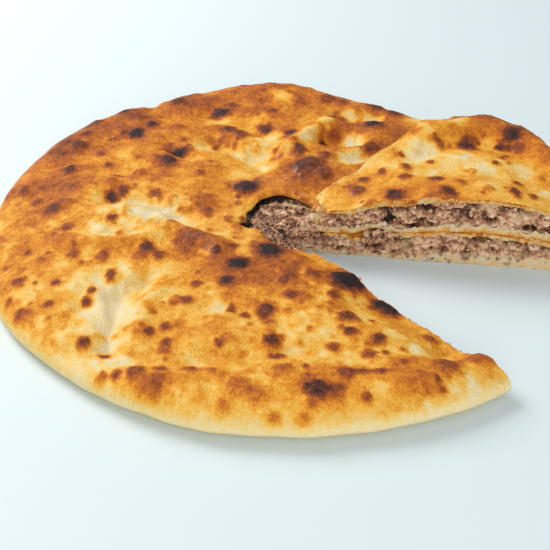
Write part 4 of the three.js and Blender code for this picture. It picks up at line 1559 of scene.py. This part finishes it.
def meat_material():
    material, tree, shader = new_material("cooked mince")
    pit, _, vary, ramp = skin_nodes(
        tree, shader, "pit", MEAT_GRAIN, MEAT_VARY, MEAT_COLOURS, MEAT_BUMP
    )
    shade = add_node(tree, "ShaderNodeMath", operation="ADD")
    fat = add_node(tree, "ShaderNodeAttribute", attribute_name="fat")
    blend = add_node(tree, "ShaderNodeMix", {MIX_SECOND: FAT_COLOUR}, data_type="RGBA")
    shader.inputs["Roughness"].default_value = 0.55
    join(
        tree,
        (vary, 0, shade, 0),
        (pit, "Fac", shade, 1),
        (shade, 0, ramp, "Fac"),
        (fat, "Fac", blend, "Factor"),
        (ramp, "Color", blend, MIX_FIRST),
        (blend, MIX_RESULT, shader, "Base Color"),
    )
    return material


cooked_mince = meat_material()
for piece in (pie_filling, slice_filling, *mince_crumbs):
    piece.data.materials.append(cooked_mince)
print("Material", cooked_mince.name, "is on", cooked_mince.users, "pieces")

# %% [markdown]
# ## Floor
# The stage is a plain pale floor, one large quad. It only catches the shadow, so it needs no texture.

# %% Floor
FLOOR_SIZE = 6.0
half = FLOOR_SIZE / 2
floor_corners = [(-half, -half, 0), (half, -half, 0), (half, half, 0), (-half, half, 0)]
floor_mesh = bpy.data.meshes.new("floor")
floor_mesh.from_pydata(floor_corners, [], [(0, 1, 2, 3)])
floor = bpy.data.objects.new("floor", floor_mesh)
bpy.context.scene.collection.objects.link(floor)
floor_material, _, floor_shader = new_material("pale floor")
floor_shader.inputs["Base Color"].default_value = paint(215, 228, 231)
floor_shader.inputs["Roughness"].default_value = 0.6
floor_mesh.materials.append(floor_material)
print("The floor is", FLOOR_SIZE, "m wide")

# %% [markdown]
# ## Light
# A large lamp behind and to the left models the folds, as a window would. A weaker one in front and a
# bright sky fill the shadows. All are nearly white, so that the crust keeps its own colours.

# %% Light
LAMPS = [  # name, place, size, power, colour
    ("window", (-0.9, 0.75, 0.95), 0.7, 20, (1, 0.98, 0.95)),
    ("front fill", (0.2, -1.4, 0.6), 1.4, 14, (1, 0.99, 0.97)),
]
SKY_COLOUR, SKY_STRENGTH = (0.93, 0.96, 1.0, 1), 0.48

for name, place, size, power, colour in LAMPS:
    data = bpy.data.lights.new(name, "AREA")
    data.size = size
    data.energy = power
    data.color = colour
    lamp = bpy.data.objects.new(name, data)
    lamp.location = place
    lamp.rotation_euler = (-Vector(place)).to_track_quat("-Z", "Y").to_euler()
    bpy.context.scene.collection.objects.link(lamp)
world = bpy.data.worlds.new("sky")
world.use_nodes = True
sky = world.node_tree.nodes["Background"]
sky.inputs["Color"].default_value = SKY_COLOUR
sky.inputs["Strength"].default_value = SKY_STRENGTH
bpy.context.scene.world = world
bpy.context.scene.view_settings.view_transform = "Standard"
print(len(LAMPS), "lamps and a sky")

# %% [markdown]
# ## Camera
# The camera looks down at about 35 degrees from in front. Its place and lens were fitted to the pie's
# outline.

# %% Camera
IMAGE_SIDE, FOCAL_PIXELS = 550, 1000
SENSOR_WIDTH = 36
LOOK_DOWN = 35.5
EYE_X, EYE_Y, EYE_Z = -3.8, -456.1, 301.4  # from the pie's centre
camera_data = bpy.data.cameras.new("camera")
camera_data.sensor_width = SENSOR_WIDTH
camera_data.lens = SENSOR_WIDTH * FOCAL_PIXELS / IMAGE_SIDE
camera = bpy.data.objects.new("camera", camera_data)
camera.location = Vector((EYE_X + shift_x, EYE_Y + shift_y, EYE_Z)) * MM
camera.rotation_euler = (math.radians(90 - LOOK_DOWN), 0, 0)
bpy.context.scene.collection.objects.link(camera)
bpy.context.scene.camera = camera
print("The lens is", round(camera_data.lens, 1), "mm")
